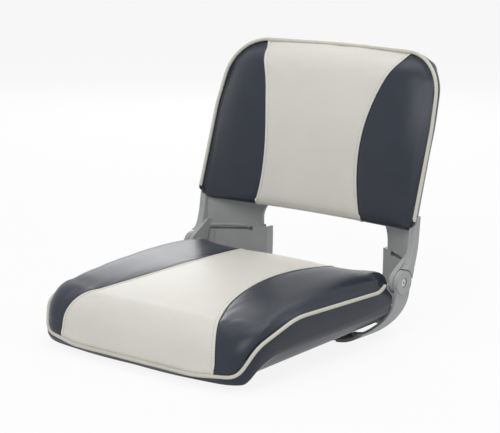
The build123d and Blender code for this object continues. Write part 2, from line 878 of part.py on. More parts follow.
with BuildPart() as back_rear_panel:
    add(back_skin.part)
    add(
        rear_room([(z, half, edge + seam_gap, middle + seam_gap) for z, half, edge, middle in parting_rows]),
        mode=Mode.INTERSECT,
    )
finish(back_rear_panel, "back_rear_panel")

with BuildPart() as back_front:
    add(back_skin.part)
    add(rear_room(parting_rows), mode=Mode.SUBTRACT)

with BuildPart() as back_middle_panel:
    add(back_front.part)
    add(back_seam_room(-seam_gap / 2), mode=Mode.INTERSECT)
finish(back_middle_panel, "back_middle_panel")

for side, name in zip(sides, ("left", "right")):
    with BuildPart() as back_side_panel:
        add(back_front.part)
        add(back_seam_room(seam_gap / 2), mode=Mode.SUBTRACT)
        with BuildSketch(Plane.YZ):
            Rectangle(4 * back_height, 4 * back_height)
        extrude(amount=-side * back_half_width - side * overrun, mode=Mode.SUBTRACT)
    finish(back_side_panel, f"back_side_panel_{name}")

with BuildPart() as back_piping:
    add(piping(back_points, back_pipe_radii, piping_radius))
finish(back_piping, "back_piping")
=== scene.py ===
"""Folding boat seat: covers, piping, stitching, foam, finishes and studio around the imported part."""

import math

import bpy
import numpy as np
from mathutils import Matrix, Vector


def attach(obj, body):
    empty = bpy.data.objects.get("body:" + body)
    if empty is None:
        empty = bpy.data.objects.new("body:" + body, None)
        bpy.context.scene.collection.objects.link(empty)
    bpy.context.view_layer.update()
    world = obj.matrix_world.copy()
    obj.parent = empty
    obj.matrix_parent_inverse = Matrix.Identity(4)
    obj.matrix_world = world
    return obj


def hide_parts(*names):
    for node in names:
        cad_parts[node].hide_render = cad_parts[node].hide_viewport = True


bl_info = {
    "name": "Folding boat seat",
    "version": (1, 0, 0),
    "blender": (4, 5, 0),
    "location": "View3D > Sidebar > Boat seat",
    "description": "Builds the upholstery and the finishes of a folding boat seat",
    "category": "Add Mesh",
}

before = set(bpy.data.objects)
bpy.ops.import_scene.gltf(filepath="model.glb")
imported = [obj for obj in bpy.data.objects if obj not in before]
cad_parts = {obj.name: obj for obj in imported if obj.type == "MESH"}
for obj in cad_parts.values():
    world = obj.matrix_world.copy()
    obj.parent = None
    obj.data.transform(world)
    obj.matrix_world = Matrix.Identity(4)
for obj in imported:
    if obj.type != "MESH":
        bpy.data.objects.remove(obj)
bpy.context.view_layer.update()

MM = 0.001
MIRROR = np.array([-1.0, 1.0, 1.0])
# Points on one side of a piping, and points on an edge that distances are measured to
PIPING_COUNT = 500
EDGE_COUNT = 900
# Cells of the tables of the two cushions' surfaces: on each side of the middle, and the other way
SEAT_CELLS = (100, 240)
BACK_CELLS = (80, 240)

# Seat cushion, in millimetres: the solid model's values, with fuller rear corners
SEAT_HALF_WIDTH = 206.0
SEAT_FRONT = -194.0
SEAT_REAR = 181.0
SEAT_TOP = 107.0
SEAT_CROWN = 15.0
SEAT_FRONT_BOTTOM = 8.0
SEAT_REAR_BOTTOM = 22.0
SEAT_FRONT_CORNER = 46.0
SEAT_REAR_CORNER = 43.0
SEAT_FRONT_FLARE = 38.0
SEAT_REAR_FLARE = 26.0
SEAT_TOE = 5.0
SEAT_HEEL = 8.0
NOSE_LEAN = 3.0
NOSE_RUN = 52.0
REAR_ROLL = 24.0
REAR_FALL = 6.0
# How much of the rear's roll and fall is lost from the middle to the side
REAR_ROLL_LOSS = 0.4
REAR_FALL_LOSS = 0.7
DECK_Z = 44.0
LEDGE_Z = 59.7
LEDGE_START = 100.0
# Across the seat: half width, front corner, rear corner, crown and flare
SEAT_STATIONS = (
    (0.00, 0.00, 0.00, 0.00, 0.00),
    (0.45, 0.02, 0.04, 0.20, 0.00),
    (0.80, 0.24, 0.13, 0.56, 0.16),
    (0.94, 0.54, 0.30, 0.82, 0.52),
    (1.00, 0.96, 0.80, 1.00, 1.00),
)
# Padding that lifts the sides: its height, the height from which it starts and the length over
# which it grows, and shares of it across and from front to rear
SIDE_LIFT = 9.0
LIFT_START = (48, 26)
LIFT_ACROSS = ((0.0, 0.42, 0.65, 0.84, 0.93, 1.0), (0.0, 0.0, 0.45, 1.0, 1.0, 0.6))
LIFT_ALONG = ((-175.0, -145.0, -107.0, -52.0, 0.0, 160.0), (0.1, 0.5, 0.85, 1.0, 1.0, 1.1))
# Hollow in the side beside the hinge ear: its middle, depth and reach, the reach of the
# smoothing round it, and how far from the piping each is whole
EAR_HOLLOW = np.array([200.0, 152.0, 95.0])
EAR_HOLLOW_DEPTH = 6.0
EAR_HOLLOW_REACH = 15.0
EAR_HOLLOW_START = 8.0
EAR_CALM_REACH = 18.0
EAR_CALM_START = 5.0
# Height at which the seat's panels begin at the rear, the seat's front corner, the foot of the
# side panel's outer edge as a share across, and how far in the panels are pulled to the piping
REAR_EDGE = 50.0
SEAT_CORNER = np.array([196.0, -168.0, 44.0])
SEAT_FOOT_SHARE = 0.93
PULL_REACH = 17.0
NOSE_HEIGHTS = (0.08, 0.42, 0.69, 0.81)
NOSE_MIDDLE = 0.34
ROLL_MIDDLE = 0.29
SEAT_PIPING = (
    (196.5, 155.0, 87.0),
    (206.0, 128.0, 84.0),
    (207.0, -74.0, 89.0),
    (204.5, -158.0, 64.0),
    (186.0, -180.0, 22.0),
    (116.0, -193.5, 16.5),
)
SEAT_PIPING_RADII = (24.0, 120.0, 30.0, 24.0, 60.0)
SEAT_SEAM = ((103.0, 200.0), (79.0, 20.0), (103.0, -98.0), (127.0, -148.0), (170.0, -210.0))

# Hinge line of the back, seen from the side
HINGE_Y = 180.0
HINGE_Z = 90.0

# Back cushion
BACK_BOTTOM = 162.0
BACK_HEIGHT = 261.0
BACK_HALF_WIDTH = 213.5
BACK_DEPTH = 141.0
BACK_EDGE_DEPTH = 14.0
BACK_SHOULDER = 0.75
BACK_BULGE = 0.35
BACK_CORNER = 24.0
# Up the back: height, half width, edge, front middle, front shoulder and rear middle
BACK_STATIONS = (
    (0.00, 1.000, 0.13, 0.262, 0.205, 0.82),
    (0.22, 1.000, 0.26, 0.300, 0.240, 0.83),
    (0.45, 0.998, 0.40, 0.345, 0.300, 0.86),
    (0.66, 0.980, 0.55, 0.420, 0.410, 0.91),
    (0.835, 0.937, 0.67, 0.525, 0.535, 0.95),
    (0.94, 0.862, 0.75, 0.660, 0.680, 0.98),
    (1.00, 0.700, 0.84, 0.900, 0.880, 1.00),
)
BACK_PIPING = ((214.0, 204.0, 182.0), (213.5, 247.0, 316.0), (203.0, 285.0, 424.0), (0.0, 312.0, 424.0))
BACK_PIPING_RADII = (200.0, 75.0, 300.0)
BACK_SEAM = ((110.0, 150.0), (93.0, 250.0), (104.0, 338.0), (119.0, 382.0), (150.0, 432.0))
# Room for the shell's wall in front of the back's rear, and the place across from which the
# legs' walls reach down to the foot
SHELL_WALL_ROOM = 8.9
LEG_INSIDE = 108.0
# The back's front is drawn onto the piping over this reach, from this height on
BACK_PULL_REACH = 26
BACK_PULL_START = (170, 13)
# Point behind the back's front, and how many rows of its foot the swelling leaves alone
BACK_BEHIND = np.array([0.0, 400.0, 290.0])
FOOT_PINS = 10
# The back's top corner is where the line at 45 degrees through this point meets its outline
BACK_CORNER_POINT = (128.0, 349.0)
# Rear panel of the back: how far it stands off the form, its rounding at the edge and at the
# foot, and how much fuller it is below the top edge and over the shell's upper corners, with
# the width and distance of the band, the height from which it starts and the corners' reach
REAR_ROOM = 0.8
REAR_ROUNDING = 8.0
REAR_FOOT = (2.2, 3.0)
REAR_BAND = 1.2
REAR_BAND_PLACE = (10, 14)
REAR_BAND_START = (330, 40)
SHELL_CORNER = (180.5, 405.5)
SHELL_CORNER_ROOM = 4.8
SHELL_CORNER_REACH = 10

# Covers, beside the piping: how the panels are drawn down to it, as depth and width, and the
# valley in the side panels, as depth, place and width, and how far from the seam it is whole
SEAT_TUCK = (1.6, 7.0)
SIDE_TUCK = (1.4, 6.0)
SEAT_VALLEY = (2.4, 11, 8)
BACK_VALLEY = (2.0, 9, 7)
VALLEY_START = 14
# Seams: the ivory fold's height, how far it ends short of its stitches, its rounding as a factor
# and radius, and the dip at the stitches and the bells that draw in the navy as depth and width
FOLD_HEIGHT = 0.9
FOLD_SHORT = 1.2
FOLD_ROUNDING = (1.2, 1.5)
STITCH_DIP = (0.55, 0.9)
NAVY_BELLS = ((0.5, 5.0), (0.45, 1.2))
# How far the foam holds the cover outside the form, and how far from the piping that is whole
FULLNESS = 1.3
FULLNESS_START = 8.0
# Groove along the back's piping, as depth and width in radians
PIPING_GROOVE = (0.55, 0.22)
# Cloth simulation: settings, thickness of the block that is blown up, steps and grid
CLOTH = {
    "vertex_group_mass": "pinned",
    "quality": 6,
    "mass": 0.3,
    "tension_stiffness": 12,
    "compression_stiffness": 12,
    "shear_stiffness": 5,
    "bending_stiffness": 0.8,
    "use_pressure": True,
    "uniform_pressure_force": 4.0,
}
CLOTH_BLOCK = 30.0
CLOTH_STEPS = 20
CLOTH_GRID = (44, 76)
# Swelling of the side panels as a share of the middle panels', so that the folded back only
# rests on the seat
SIDE_SWELL = 0.45
# Foam: how far in from the covers it lies, more so at the ear hollow, its gap to the shell, and
# how far it reaches, as shares of the cushions
FOAM_INSET = 6.5
FOAM_HOLLOW = 9.0
FOAM_HOLLOW_REACH = 24.0
BACK_FOAM_INSET = 3.4
FOAM_GAP = 0.5
SEAT_FOAM_ACROSS = 0.93
BACK_FOAM_ACROSS = 0.965
BACK_FOAM_UP = (0.03, 0.955)
# The back's foam lies this much further from the rear at the top, from this height on
BACK_FOAM_TOP_ROOM = 6.0
BACK_FOAM_TOP_START = (310, 60)

# Seat gusset, from the middle of the front to the arm: a point of the piping, the crease of the
# wall, its lower corner and the hem
GUSSET_RIBS = (
    ((0, -193.5, 16.5), (0, -192.6, 12.5), (0, -190.5, 8.2), (0, -150, 8.6)),
    ((93, -193.5, 16.5), (93, -192.3, 12.5), (93, -190, 8.2), (93, -150, 8.6)),
    ((150, -187, 19), (150, -187.5, 14), (152, -185.5, 8.8), (140, -147, 9.2)),
    ((175, -182, 20), (176, -183, 14.5), (176, -180, 9.3), (147, -143, 10)),
    ((186, -179, 22), (187, -178.5, 16), (186.5, -174.5, 9.8), (151, -138, 10.8)),
    ((193, -172, 38), (194, -170, 22), (191.5, -166.5, 11.5), (153, -132, 12)),
    ((199, -166, 52), (200.5, -163, 32), (198, -160.5, 21), (154, -124, 13)),
    ((203, -159, 62), (204, -153, 42), (202.8, -152, 32), (154, -114, 14)),
    ((205, -148, 68), (206.5, -138, 48), (205.2, -135, 40), (154, -104, 15)),
    ((206, -120, 77), (207.6, -108, 51), (206.2, -108, 45.4), (154, -86, 16)),
    ((207, -74, 89), (208.3, -74, 53), (206.3, -74, 46.8), (154, -62, 17)),
    ((206.8, -20, 88), (208.6, -20, 53.5), (206.3, -20, 46.6), (154, -14, 18)),
    ((206.6, 40, 86.5), (209, 40, 54.5), (206.3, 40, 46.8), (154, 32, 19.5)),
    ((206, 98, 85), (209.2, 98, 57), (206.3, 96, 47), (154, 84, 19.5)),
    ((206, 128, 84), (209.2, 130, 60), (206.3, 128, 47), (154, 104, 21)),
    ((203.5, 138, 84.6), (209, 146, 62), (206.3, 141, 47.4), (155, 115, 22.3)),
    ((200, 147, 85.6), (208.4, 155.5, 64.5), (206.3, 149, 47), (156, 123, 23.3)),
    ((196.5, 155, 87), (207, 162.2, 71), (206.3, 154.4, 46.5), (157, 130, 24)),
)
# How far its wall bulges
GUSSET_BULGE = 1.3
# The gusset turns inwards behind the piping's end, and reaches this rib
GUSSET_RETURN = ((187, 162, 82), (197, 166, 68), (198, 158.5, 47.5), (150, 133, 25))

# Legs of the back shell, right side: x and y of the front of the wall below and above the slot
WALL_FRONT = (
    (115, 130, 140, 150, 160, 170, 180, 190, 202),
    (265, 257, 251, 245.1, 238.9, 232.1, 224.7, 216.7, 211),
)
LIP_WALL = (
    (150, 160, 170, 180, 190, 195, 204),
    (248.2, 242, 235.2, 227.8, 219.8, 215.4, 206.5),
)
# The outer strip seen from the side, from the bottom up: y and z of its front and rear edge
LEG_STRIP = (
    ((189.6, 113), (203.6, 105)),
    ((193.4, 120), (207.2, 113)),
    ((196.6, 127), (210.8, 124)),
    ((199.8, 137), (214.0, 136)),
    ((202.4, 150), (216.4, 150)),
    ((205.0, 166), (218.0, 166)),
    ((209.4, 186), (220.2, 186)),
)
# Foot of the strip round the hinge: angles from the rear upwards, and the outer radius there
LEG_FOOT = (
    (10, 17, 25, 34, 44, 54, 62, 70, 77, 83),
    (20.5, 22.0, 25.2, 30.2, 33.6, 33.0, 29.4, 25.4, 22.2, 20.5),
)
LEG_FOOT_INSIDE = 20.1
LEG_STRIP_X = (203.6, 216.0)
# Lip over the slot: its ends, height, arch and half thicknesses
LIP_X = (152, 204)
LIP_Z = 115.6
LIP_ARCH = 1.5
LIP_HALVES = (1.9, 3.0)
# Channel behind the slot: its ends, its section as depths behind the wall's front and heights,
# and the thickness of its wall
CHANNEL_X = (121, 201)
CHANNEL = ((6.0, 105.4), (8.4, 106.6), (9.0, 110.6), (8.4, 115.6), (6.0, 116.8))
CHANNEL_WALL = 1.2
# Direction from the wall's front to its rear
WALL_DEPTH = np.array([0.55, 0.835, 0.0])

# Studio: light of the surroundings, half side of the floor in millimetres, how white the camera
# sees it, the lamps as name, place, aim, size and power, and the camera, with its angles in
# degrees from the front to the right and from level upwards
WORLD_LIGHT = 0.42
FLOOR_HALF = 6000
FLOOR_WHITE = 0.88
LAMPS = (
    ("overhead_lamp", (0.2, 0.5, 2.4), (0, 0, 0.1), (2.6, 2.2), 24),
    ("front_lamp", (0.9, -2.0, 2.1), (0, 0, 0.2), (1.8, 1.5), 26),
    ("rear_left_lamp", (-1.6, 2.0, 1.05), (-0.15, 0.0, 0.1), (1.5, 0.7), 13),
)
CAMERA_PLACE = (1.6162, -1.8896, 0.7357)
CAMERA_TURN = 39.46
CAMERA_LIFT = 12.31
CAMERA_LENS = 122.4


# Shapes: numpy helpers, all in millimetres


def unit(vectors):
    """Each vector divided by its length."""
    return vectors / np.maximum(np.linalg.norm(vectors, axis=-1, keepdims=True), 1e-9)


def three_point_arc(start, middle, end, count=24):
    """Arc through three points of a plane: the circle's centre is where the two bisectors cross,
    and the points are spread evenly in angle from the start past the middle to the end."""
    start, middle, end = (np.asarray(point, float) for point in (start, middle, end))
    sides = np.array([middle - start, end - start])
    if abs(np.linalg.det(sides)) < 1e-6:
        return start + np.linspace(0, 1, count)[:, None] * (end - start)
    centre = start + np.linalg.solve(sides, (sides**2).sum(1) / 2)
    first, passed, last = (math.atan2(*(point - centre)[::-1]) for point in (start, middle, end))
    sweep = (last - first) % math.tau
    if (passed - first) % math.tau > sweep:
        sweep -= math.tau
    steps = first + np.linspace(0, 1, count) * sweep
    radius = np.linalg.norm(start - centre)
    return centre + radius * np.column_stack([np.cos(steps), np.sin(steps)])


def lengths_along(path):
    """Distance run along a path up to each of its points."""
    steps = np.linalg.norm(np.diff(path, axis=0), axis=1)
    return np.concatenate([[0.0], np.cumsum(steps)])


def shares_along(path):
    """The same as a share of the whole length."""
    run = lengths_along(path)
    return run / run[-1]


def read_path(path, shares, run=None):
    """Points of a path at the given shares of its length."""
    run = lengths_along(path) if run is None else run
    places = np.asarray(shares) * run[-1]
    return np.stack([np.interp(places, run, path[:, axis]) for axis in range(path.shape[1])], -1)


def soften(values, width):
    """Weighted mean along the first axis, with a bell of that width in samples. The ends stay."""
    reach = int(3 * width) + 1
    head = 2 * values[:1] - values[reach:0:-1]
    tail = 2 * values[-1:] - values[-2 : -reach - 2 : -1]
    longer = np.concatenate([head, values, tail])
    weights = np.exp(-0.5 * (np.arange(-reach, reach + 1) / width) ** 2)
    weights /= weights.sum()
    return sum(weight * longer[k : k + len(values)] for k, weight in enumerate(weights))


def soften_both(grid, width):
    """Grid softened along both of its axes."""
    return soften(soften(grid, width).swapaxes(0, 1), width).swapaxes(0, 1)


def spline(knots, rows, places):
    """Natural cubic curve through the rows at their knots, read at the places."""
    knots = np.asarray(knots, float)
    rows = np.asarray(rows, float).reshape(len(knots), -1)
    gaps = np.diff(knots)
    slopes = np.diff(rows, axis=0) / gaps[:, None]
    inner = np.arange(1, len(knots) - 1)
    matrix = np.eye(len(knots))
    matrix[inner, inner - 1] = gaps[:-1]
    matrix[inner, inner] = 2 * (gaps[:-1] + gaps[1:])
    matrix[inner, inner + 1] = gaps[1:]
    bend = np.zeros_like(rows)
    bend[1:-1] = 6 * np.diff(slopes, axis=0)
    bend = np.linalg.solve(matrix, bend)
    places = np.asarray(places, float)
    cell = np.clip(np.searchsorted(knots, places) - 1, 0, len(gaps) - 1)
    gap = gaps[cell][..., None]
    before = (knots[cell + 1] - places)[..., None]
    after = (places - knots[cell])[..., None]
    cubic = (bend[cell] * before**3 + bend[cell + 1] * after**3) / (6 * gap)
    line = (rows[cell] / gap - bend[cell] * gap / 6) * before
    return cubic + line + (rows[cell + 1] / gap - bend[cell + 1] * gap / 6) * after


def look_up(table, row, column):
    """Table read between its entries, in index units along both of its first axes."""
    row = np.clip(row, 0, table.shape[0] - 1.001)
    column = np.clip(column, 0, table.shape[1] - 1.001)
    i, j = row.astype(int), column.astype(int)
    p, q = (row - i)[..., None], (column - j)[..., None]
    near = table[i, j] * (1 - q) + table[i, j + 1] * q
    far = table[i + 1, j] * (1 - q) + table[i + 1, j + 1] * q
    return near * (1 - p) + far * p


def filleted(points, radii):
    """Run of straight pieces with an arc of the given radius at each corner."""
    points = np.asarray(points, float)
    pieces = [points[:1]]
    for before, corner, after, radius in zip(points[:-2], points[1:-1], points[2:], radii):
        back, ahead = unit(before - corner), unit(after - corner)
        half = math.acos(np.clip(back @ ahead, -1, 1)) / 2
        centre = corner + unit(back + ahead) * radius / math.sin(half)
        start = corner + back * radius / math.tan(half)
        angles = np.linspace(0, math.pi - 2 * half, 20)[:, None]
        pieces.append(centre + np.cos(angles) * (start - centre) - np.sin(angles) * radius * back)
    return np.vstack(pieces + [points[-1:]])


def piping_line(points, radii, count, width):
    """Centre line of a piping from its right end over the middle to its left end: the route of
    one side and its mirror image, filleted, evenly spread and softened."""
    right = np.array(points)
    crosses = right[-1, 0] == 0
    left = (right[:-1] if crosses else right)[::-1] * MIRROR
    radii = radii + (radii[:-1] if crosses else radii)[::-1]
    route = filleted(np.vstack([right, left]), radii)
    return soften(read_path(route, np.linspace(0, 1, 2 * count - 1)), width)


def stretched_shares(count, pull, ends=(1, 1)):
    """Shares from 0 to 1 that lie closer together near the chosen ends."""
    low, high = -pull * ends[0], pull * ends[1]
    steps = np.tanh(np.linspace(low, high, count))
    return (steps - steps[0]) / (steps[-1] - steps[0])


def coons(first, last, foot, head):
    """Surface patch between four edges: the two blends of facing edges added, less the blend of
    the four corners. first and last run along the second axis, foot and head along the first."""
    f = shares_along(foot)[:, None, None]
    g = shares_along(first)[None, :, None]
    across = (1 - f) * first[None] + f * last[None]
    along = (1 - g) * foot[:, None] + g * head[:, None]
    corners = (1 - f) * ((1 - g) * foot[0] + g * head[0]) + f * ((1 - g) * foot[-1] + g * head[-1])
    return across + along - corners


def grid_normals(grid):
    """Unit normals of a grid of points, from the cross product of its two slopes."""
    return unit(np.cross(np.gradient(grid, axis=0), np.gradient(grid, axis=1)))


def nearest(points, curve):
    """For each point, the distance to a curve's nearest sample and that sample's number."""
    flat = points.reshape(-1, points.shape[-1])
    distance = np.empty(len(flat))
    index = np.empty(len(flat), int)
    for start in range(0, len(flat), 4000):
        part = flat[start : start + 4000]
        gaps = ((part[:, None] - curve[None]) ** 2).sum(-1)
        index[start : start + 4000] = gaps.argmin(1)
        distance[start : start + 4000] = np.sqrt(gaps.min(1))
    return distance.reshape(points.shape[:-1]), index.reshape(points.shape[:-1])


def rise(value, start=0, length=1):
    """Smooth step that begins at the start and reaches 1 after the length: three times the
    square less twice the cube of the share passed."""
    share = np.clip((value - start) / length, 0, 1)
    return share * share * (3 - 2 * share)


def bell(value, width, place=0):
    """Bell curve: 1 at the place, and 0.37 at the width from it."""
    return np.exp(-(((value - place) / width) ** 2))


def draw_to(grid, loose, target, reach):
    """Grid pulled so that its edge on the loose curve lands on the target curve, with the pull
    fading out smoothly over the reach."""
    distance, index = nearest(grid, loose)
    return grid + rise(1 - distance / reach)[..., None] * (target - loose)[index]


# Meshes


def quads_of(rows, columns, offset=0):
    """Corner numbers of the faces of a grid with that many rows and columns of points."""
    index = np.arange(rows * columns).reshape(rows, columns) + offset
    return np.stack([index[:-1, :-1], index[1:, :-1], index[1:, 1:], index[:-1, 1:]], -1).reshape(-1, 4)


def mesh_object(name, points, quads, triangles=()):
    """Object at the origin from points in millimetres, smooth shaded."""
    mesh = bpy.data.meshes.new(name)
    faces = [tuple(int(i) for i in face) for face in quads]
    faces += [tuple(int(i) for i in face) for face in triangles]
    mesh.from_pydata((np.asarray(points) * MM).tolist(), [], faces)
    mesh.polygons.foreach_set("use_smooth", [True] * len(mesh.polygons))
    mesh.update()
    mesh.validate()
    made = bpy.data.objects.new(name, mesh)
    bpy.context.scene.collection.objects.link(made)
    return made


def sheet_object(name, grid, thickness):
    """Cover panel: a grid of points with the vinyl's thickness added on its inner side."""
    made = mesh_object(name, grid.reshape(-1, 3), quads_of(*grid.shape[:2]))
    solid = made.modifiers.new("Vinyl thickness", "SOLIDIFY")
    solid.thickness = thickness
    solid.offset = -1
    return made


def block_object(name, outer, inner):
    """Closed solid between two grids of the same size, joined around their rims."""
    rows, columns = outer.shape[:2]
    count = rows * columns
    index = np.arange(count).reshape(rows, columns)
    rim = np.concatenate([index[0, :-1], index[:-1, -1], index[-1, :0:-1], index[:0:-1, 0]])
    after = np.roll(rim, -1)
    walls = np.stack([rim, after, after + count, rim + count], -1)
    quads = np.vstack([quads_of(rows, columns), quads_of(rows, columns, count)[:, ::-1], walls])
    return mesh_object(name, np.vstack([outer.reshape(-1, 3), inner.reshape(-1, 3)]), quads)


def ring_faces(index):
    """Faces between neighbouring rings, from the numbers of the points on them."""
    after = np.roll(index, -1, -1)
    corners = [index[..., :-1, :], after[..., :-1, :], after[..., 1:, :], index[..., 1:, :]]
    return np.stack(corners, -1).reshape(-1, 4)


def capped_tube(name, rings, poles):
    """Tube through rings of points, closed at each end by a fan of triangles to a pole."""
    index = np.arange(rings.shape[0] * rings.shape[1]).reshape(rings.shape[:2])
    after = np.roll(index, -1, 1)
    caps = [(index.size, b, a) for a, b in zip(index[0], after[0])]
    caps += [(index.size + 1, a, b) for a, b in zip(index[-1], after[-1])]
    return mesh_object(name, np.vstack([rings.reshape(-1, 3), *poles]), ring_faces(index), caps)


def tube_object(name, path, outward, profile):
    """Cord along a path: each ring is the profile, a radius at each angle from the outward
    direction, and the ends are closed by shrinking rings like a dome."""
    tangent = unit(np.gradient(path, axis=0))
    outward = unit(outward - (outward * tangent).sum(-1, keepdims=True) * tangent)
    side = np.cross(tangent, outward)
    angles = np.linspace(0, math.tau, len(profile), endpoint=False)
    ring = np.stack([np.cos(angles) * profile, np.sin(angles) * profile], -1)
    dome = np.linspace(0, 1, 6)[:-1] * math.pi / 2
    scale = np.concatenate([np.cos(dome[::-1]), np.ones(len(path) - 2), np.cos(dome)])
    shift = np.concatenate([-np.sin(dome[::-1]), np.zeros(len(path) - 2), np.sin(dome)])
    spread = np.concatenate([np.zeros(5, int), np.arange(1, len(path) - 1), np.full(5, len(path) - 1)])
    reach = profile.mean()
    middle = path[spread] + tangent[spread] * (shift * reach)[:, None]
    rings = middle[:, None] + scale[:, None, None] * (
        ring[None, :, :1] * outward[spread][:, None] + ring[None, :, 1:] * side[spread][:, None]
    )
    return capped_tube(name, rings, [path[0] - tangent[0] * reach, path[-1] + tangent[-1] * reach])


def rounded_bar(name, first, last, low, high, power=7, around=48):
    """Closed bar between two curves seen from the side, from one x to another. Each cross-section
    is a superellipse, so the bar has flat faces and softly rounded edges."""
    angles = np.linspace(0, math.tau, around, endpoint=False)
    across, through = (
        np.sign(wave) * np.abs(wave) ** (2 / power) for wave in (np.cos(angles), np.sin(angles))
    )
    middle, half = (first + last) / 2, (last - first) / 2
    x = np.broadcast_to((low + high) / 2 + (high - low) / 2 * across, (len(first), around))
    side = middle[:, None] + half[:, None] * through[None, :, None]
    rings = np.concatenate([x[..., None], side], -1)
    return capped_tube(name, rings, [rings[0].mean(0), rings[-1].mean(0)])


def swollen(grid, pinned, cap, name):
    """How far each point of a padded panel moves when its cover is blown up by the foam.

    The panel is closed by a copy of itself pushed inwards, whose points are pinned with those
    on the seams, and the cloth solver runs on it. Each move is capped, eased at the cap."""
    rows, columns = grid.shape[:2]
    normals = grid_normals(grid)
    block = block_object(name, grid, grid - CLOTH_BLOCK * normals)
    group = block.vertex_groups.new(name="pinned")
    held = np.concatenate([pinned.ravel(), np.ones(rows * columns, bool)])
    group.add([int(i) for i in np.flatnonzero(held)], 1.0, "REPLACE")
    cloth = block.modifiers.new("Cloth", "CLOTH")
    for setting, value in CLOTH.items():
        setattr(cloth.settings, setting, value)
    cloth.settings.effector_weights.gravity = 0
    cloth.collision_settings.use_collision = False
    cloth.point_cache.frame_start = 1
    cloth.point_cache.frame_end = CLOTH_STEPS
    scene = bpy.context.scene
    for step in range(1, CLOTH_STEPS + 1):
        scene.frame_set(step)
    found = block.evaluated_get(bpy.context.evaluated_depsgraph_get())
    points = np.empty(len(found.data.vertices) * 3, np.float32)
    found.data.vertices.foreach_get("co", points)
    moved = points.reshape(-1, 3)[: rows * columns].reshape(rows, columns, 3) / MM - grid
    bpy.data.objects.remove(block)
    scene.frame_set(1)
    out = (moved * normals).sum(-1)
    return cap * np.tanh(np.nan_to_num(out) / cap)


def padded_swell(grid, pinned, cap, name):
    """Swelling of a fine grid: the cloth solver runs on every few points, the rest lie between."""
    sizes = zip(grid.shape, CLOTH_GRID)
    rows, columns = (np.unique(np.linspace(0, size - 1, count).astype(int)) for size, count in sizes)
    coarse = swollen(grid[np.ix_(rows, columns)], pinned[np.ix_(rows, columns)], cap, name)
    middle = np.stack([np.interp(np.arange(grid.shape[1]), columns, row) for row in coarse])
    fine = np.stack([np.interp(np.arange(grid.shape[0]), rows, row) for row in middle.T], -1)
    return soften_both(fine, 1.5)


# Surfaces of the seat cushion


def seat_profile(station):
    """Side profile of the cushion at one station: a line up the rear, an arc over its roll, an
    arc along the top, an arc over the nose, and lines down to the toe."""
    across, front_corner, rear_corner, crown, flare = station
    front = SEAT_FRONT + front_corner * SEAT_FRONT_CORNER
    rear = SEAT_REAR - rear_corner * SEAT_REAR_CORNER
    top = SEAT_TOP - crown * SEAT_CROWN
    low = SEAT_FRONT_BOTTOM + flare * SEAT_FRONT_FLARE
    heel = SEAT_REAR_BOTTOM + flare * SEAT_REAR_FLARE
    nose = [low + share * (top - low) for share in NOSE_HEIGHTS]
    turn = REAR_ROLL * (1 - REAR_ROLL_LOSS * across**2)
    fall = REAR_FALL * (1 - REAR_FALL_LOSS * across**2)
    roll = ROLL_MIDDLE * turn
    start, end = (rear - turn, top - fall), (front + NOSE_RUN, nose[3])
    pieces = [
        [(rear - SEAT_HEEL, heel)],
        three_point_arc((rear, top - fall - turn), (rear - roll, top - fall - roll), start),
        three_point_arc(start, ((start[0] + end[0]) / 2, top), end)[1:],
        three_point_arc(end, (front + NOSE_MIDDLE * NOSE_RUN, nose[2]), (front + NOSE_LEAN, nose[1]))[1:],
        [(front, nose[0]), (front + SEAT_TOE, low)],
    ]
    path = np.vstack([np.asarray(piece, float) for piece in pieces])
    return read_path(path, np.linspace(0, 1, 241))


def seat_table():
    """Profiles of the cushion at even places across it, with every kink rounded."""
    stations = [(-s[0],) + s[1:] for s in SEAT_STATIONS[:0:-1]] + list(SEAT_STATIONS)
    profiles = np.stack([seat_profile(station) for station in stations])
    knots = [station[0] for station in stations]
    across = np.linspace(-1, 1, 2 * SEAT_CELLS[0] + 1)
    table = spline(knots, profiles, across).reshape(len(across), -1, 2)
    lift = soften(np.interp(np.abs(across), *LIFT_ACROSS), 4)[:, None]
    lift = lift * np.interp(table[..., 0], *LIFT_ALONG) * rise(table[..., 1], *LIFT_START)
    table[..., 1] += SIDE_LIFT * lift
    return soften(table.swapaxes(0, 1), 2.5).swapaxes(0, 1)


def seat_surface(table, places):
    """Points of the cushion at (share across, share along the profile from rear to toe)."""
    across, along = places[..., 0], places[..., 1]
    found = look_up(table, (across + 1) * SEAT_CELLS[0], along * SEAT_CELLS[1])
    return np.concatenate([(across * SEAT_HALF_WIDTH)[..., None], found], -1)


def seat_underside(x, y):
    """Height of the cushion's underside: a line from toe to heel, both raised by the flare."""
    knots = [s[0] for s in SEAT_STATIONS]
    shares = spline(knots, [s[1:] for s in SEAT_STATIONS], np.clip(np.abs(x) / SEAT_HALF_WIDTH, 0, 1))
    front = SEAT_FRONT + shares[..., 0] * SEAT_FRONT_CORNER + SEAT_TOE
    rear = SEAT_REAR - shares[..., 1] * SEAT_REAR_CORNER - SEAT_HEEL
    low = SEAT_FRONT_BOTTOM + shares[..., 3] * SEAT_FRONT_FLARE
    heel = SEAT_REAR_BOTTOM + shares[..., 3] * SEAT_REAR_FLARE
    return low + (y - front) / (rear - front) * (heel - low)


def seam_line(points):
    """Two arcs through five points."""
    return np.vstack([three_point_arc(*points[:3], 200), three_point_arc(*points[2:], 200)[1:]])


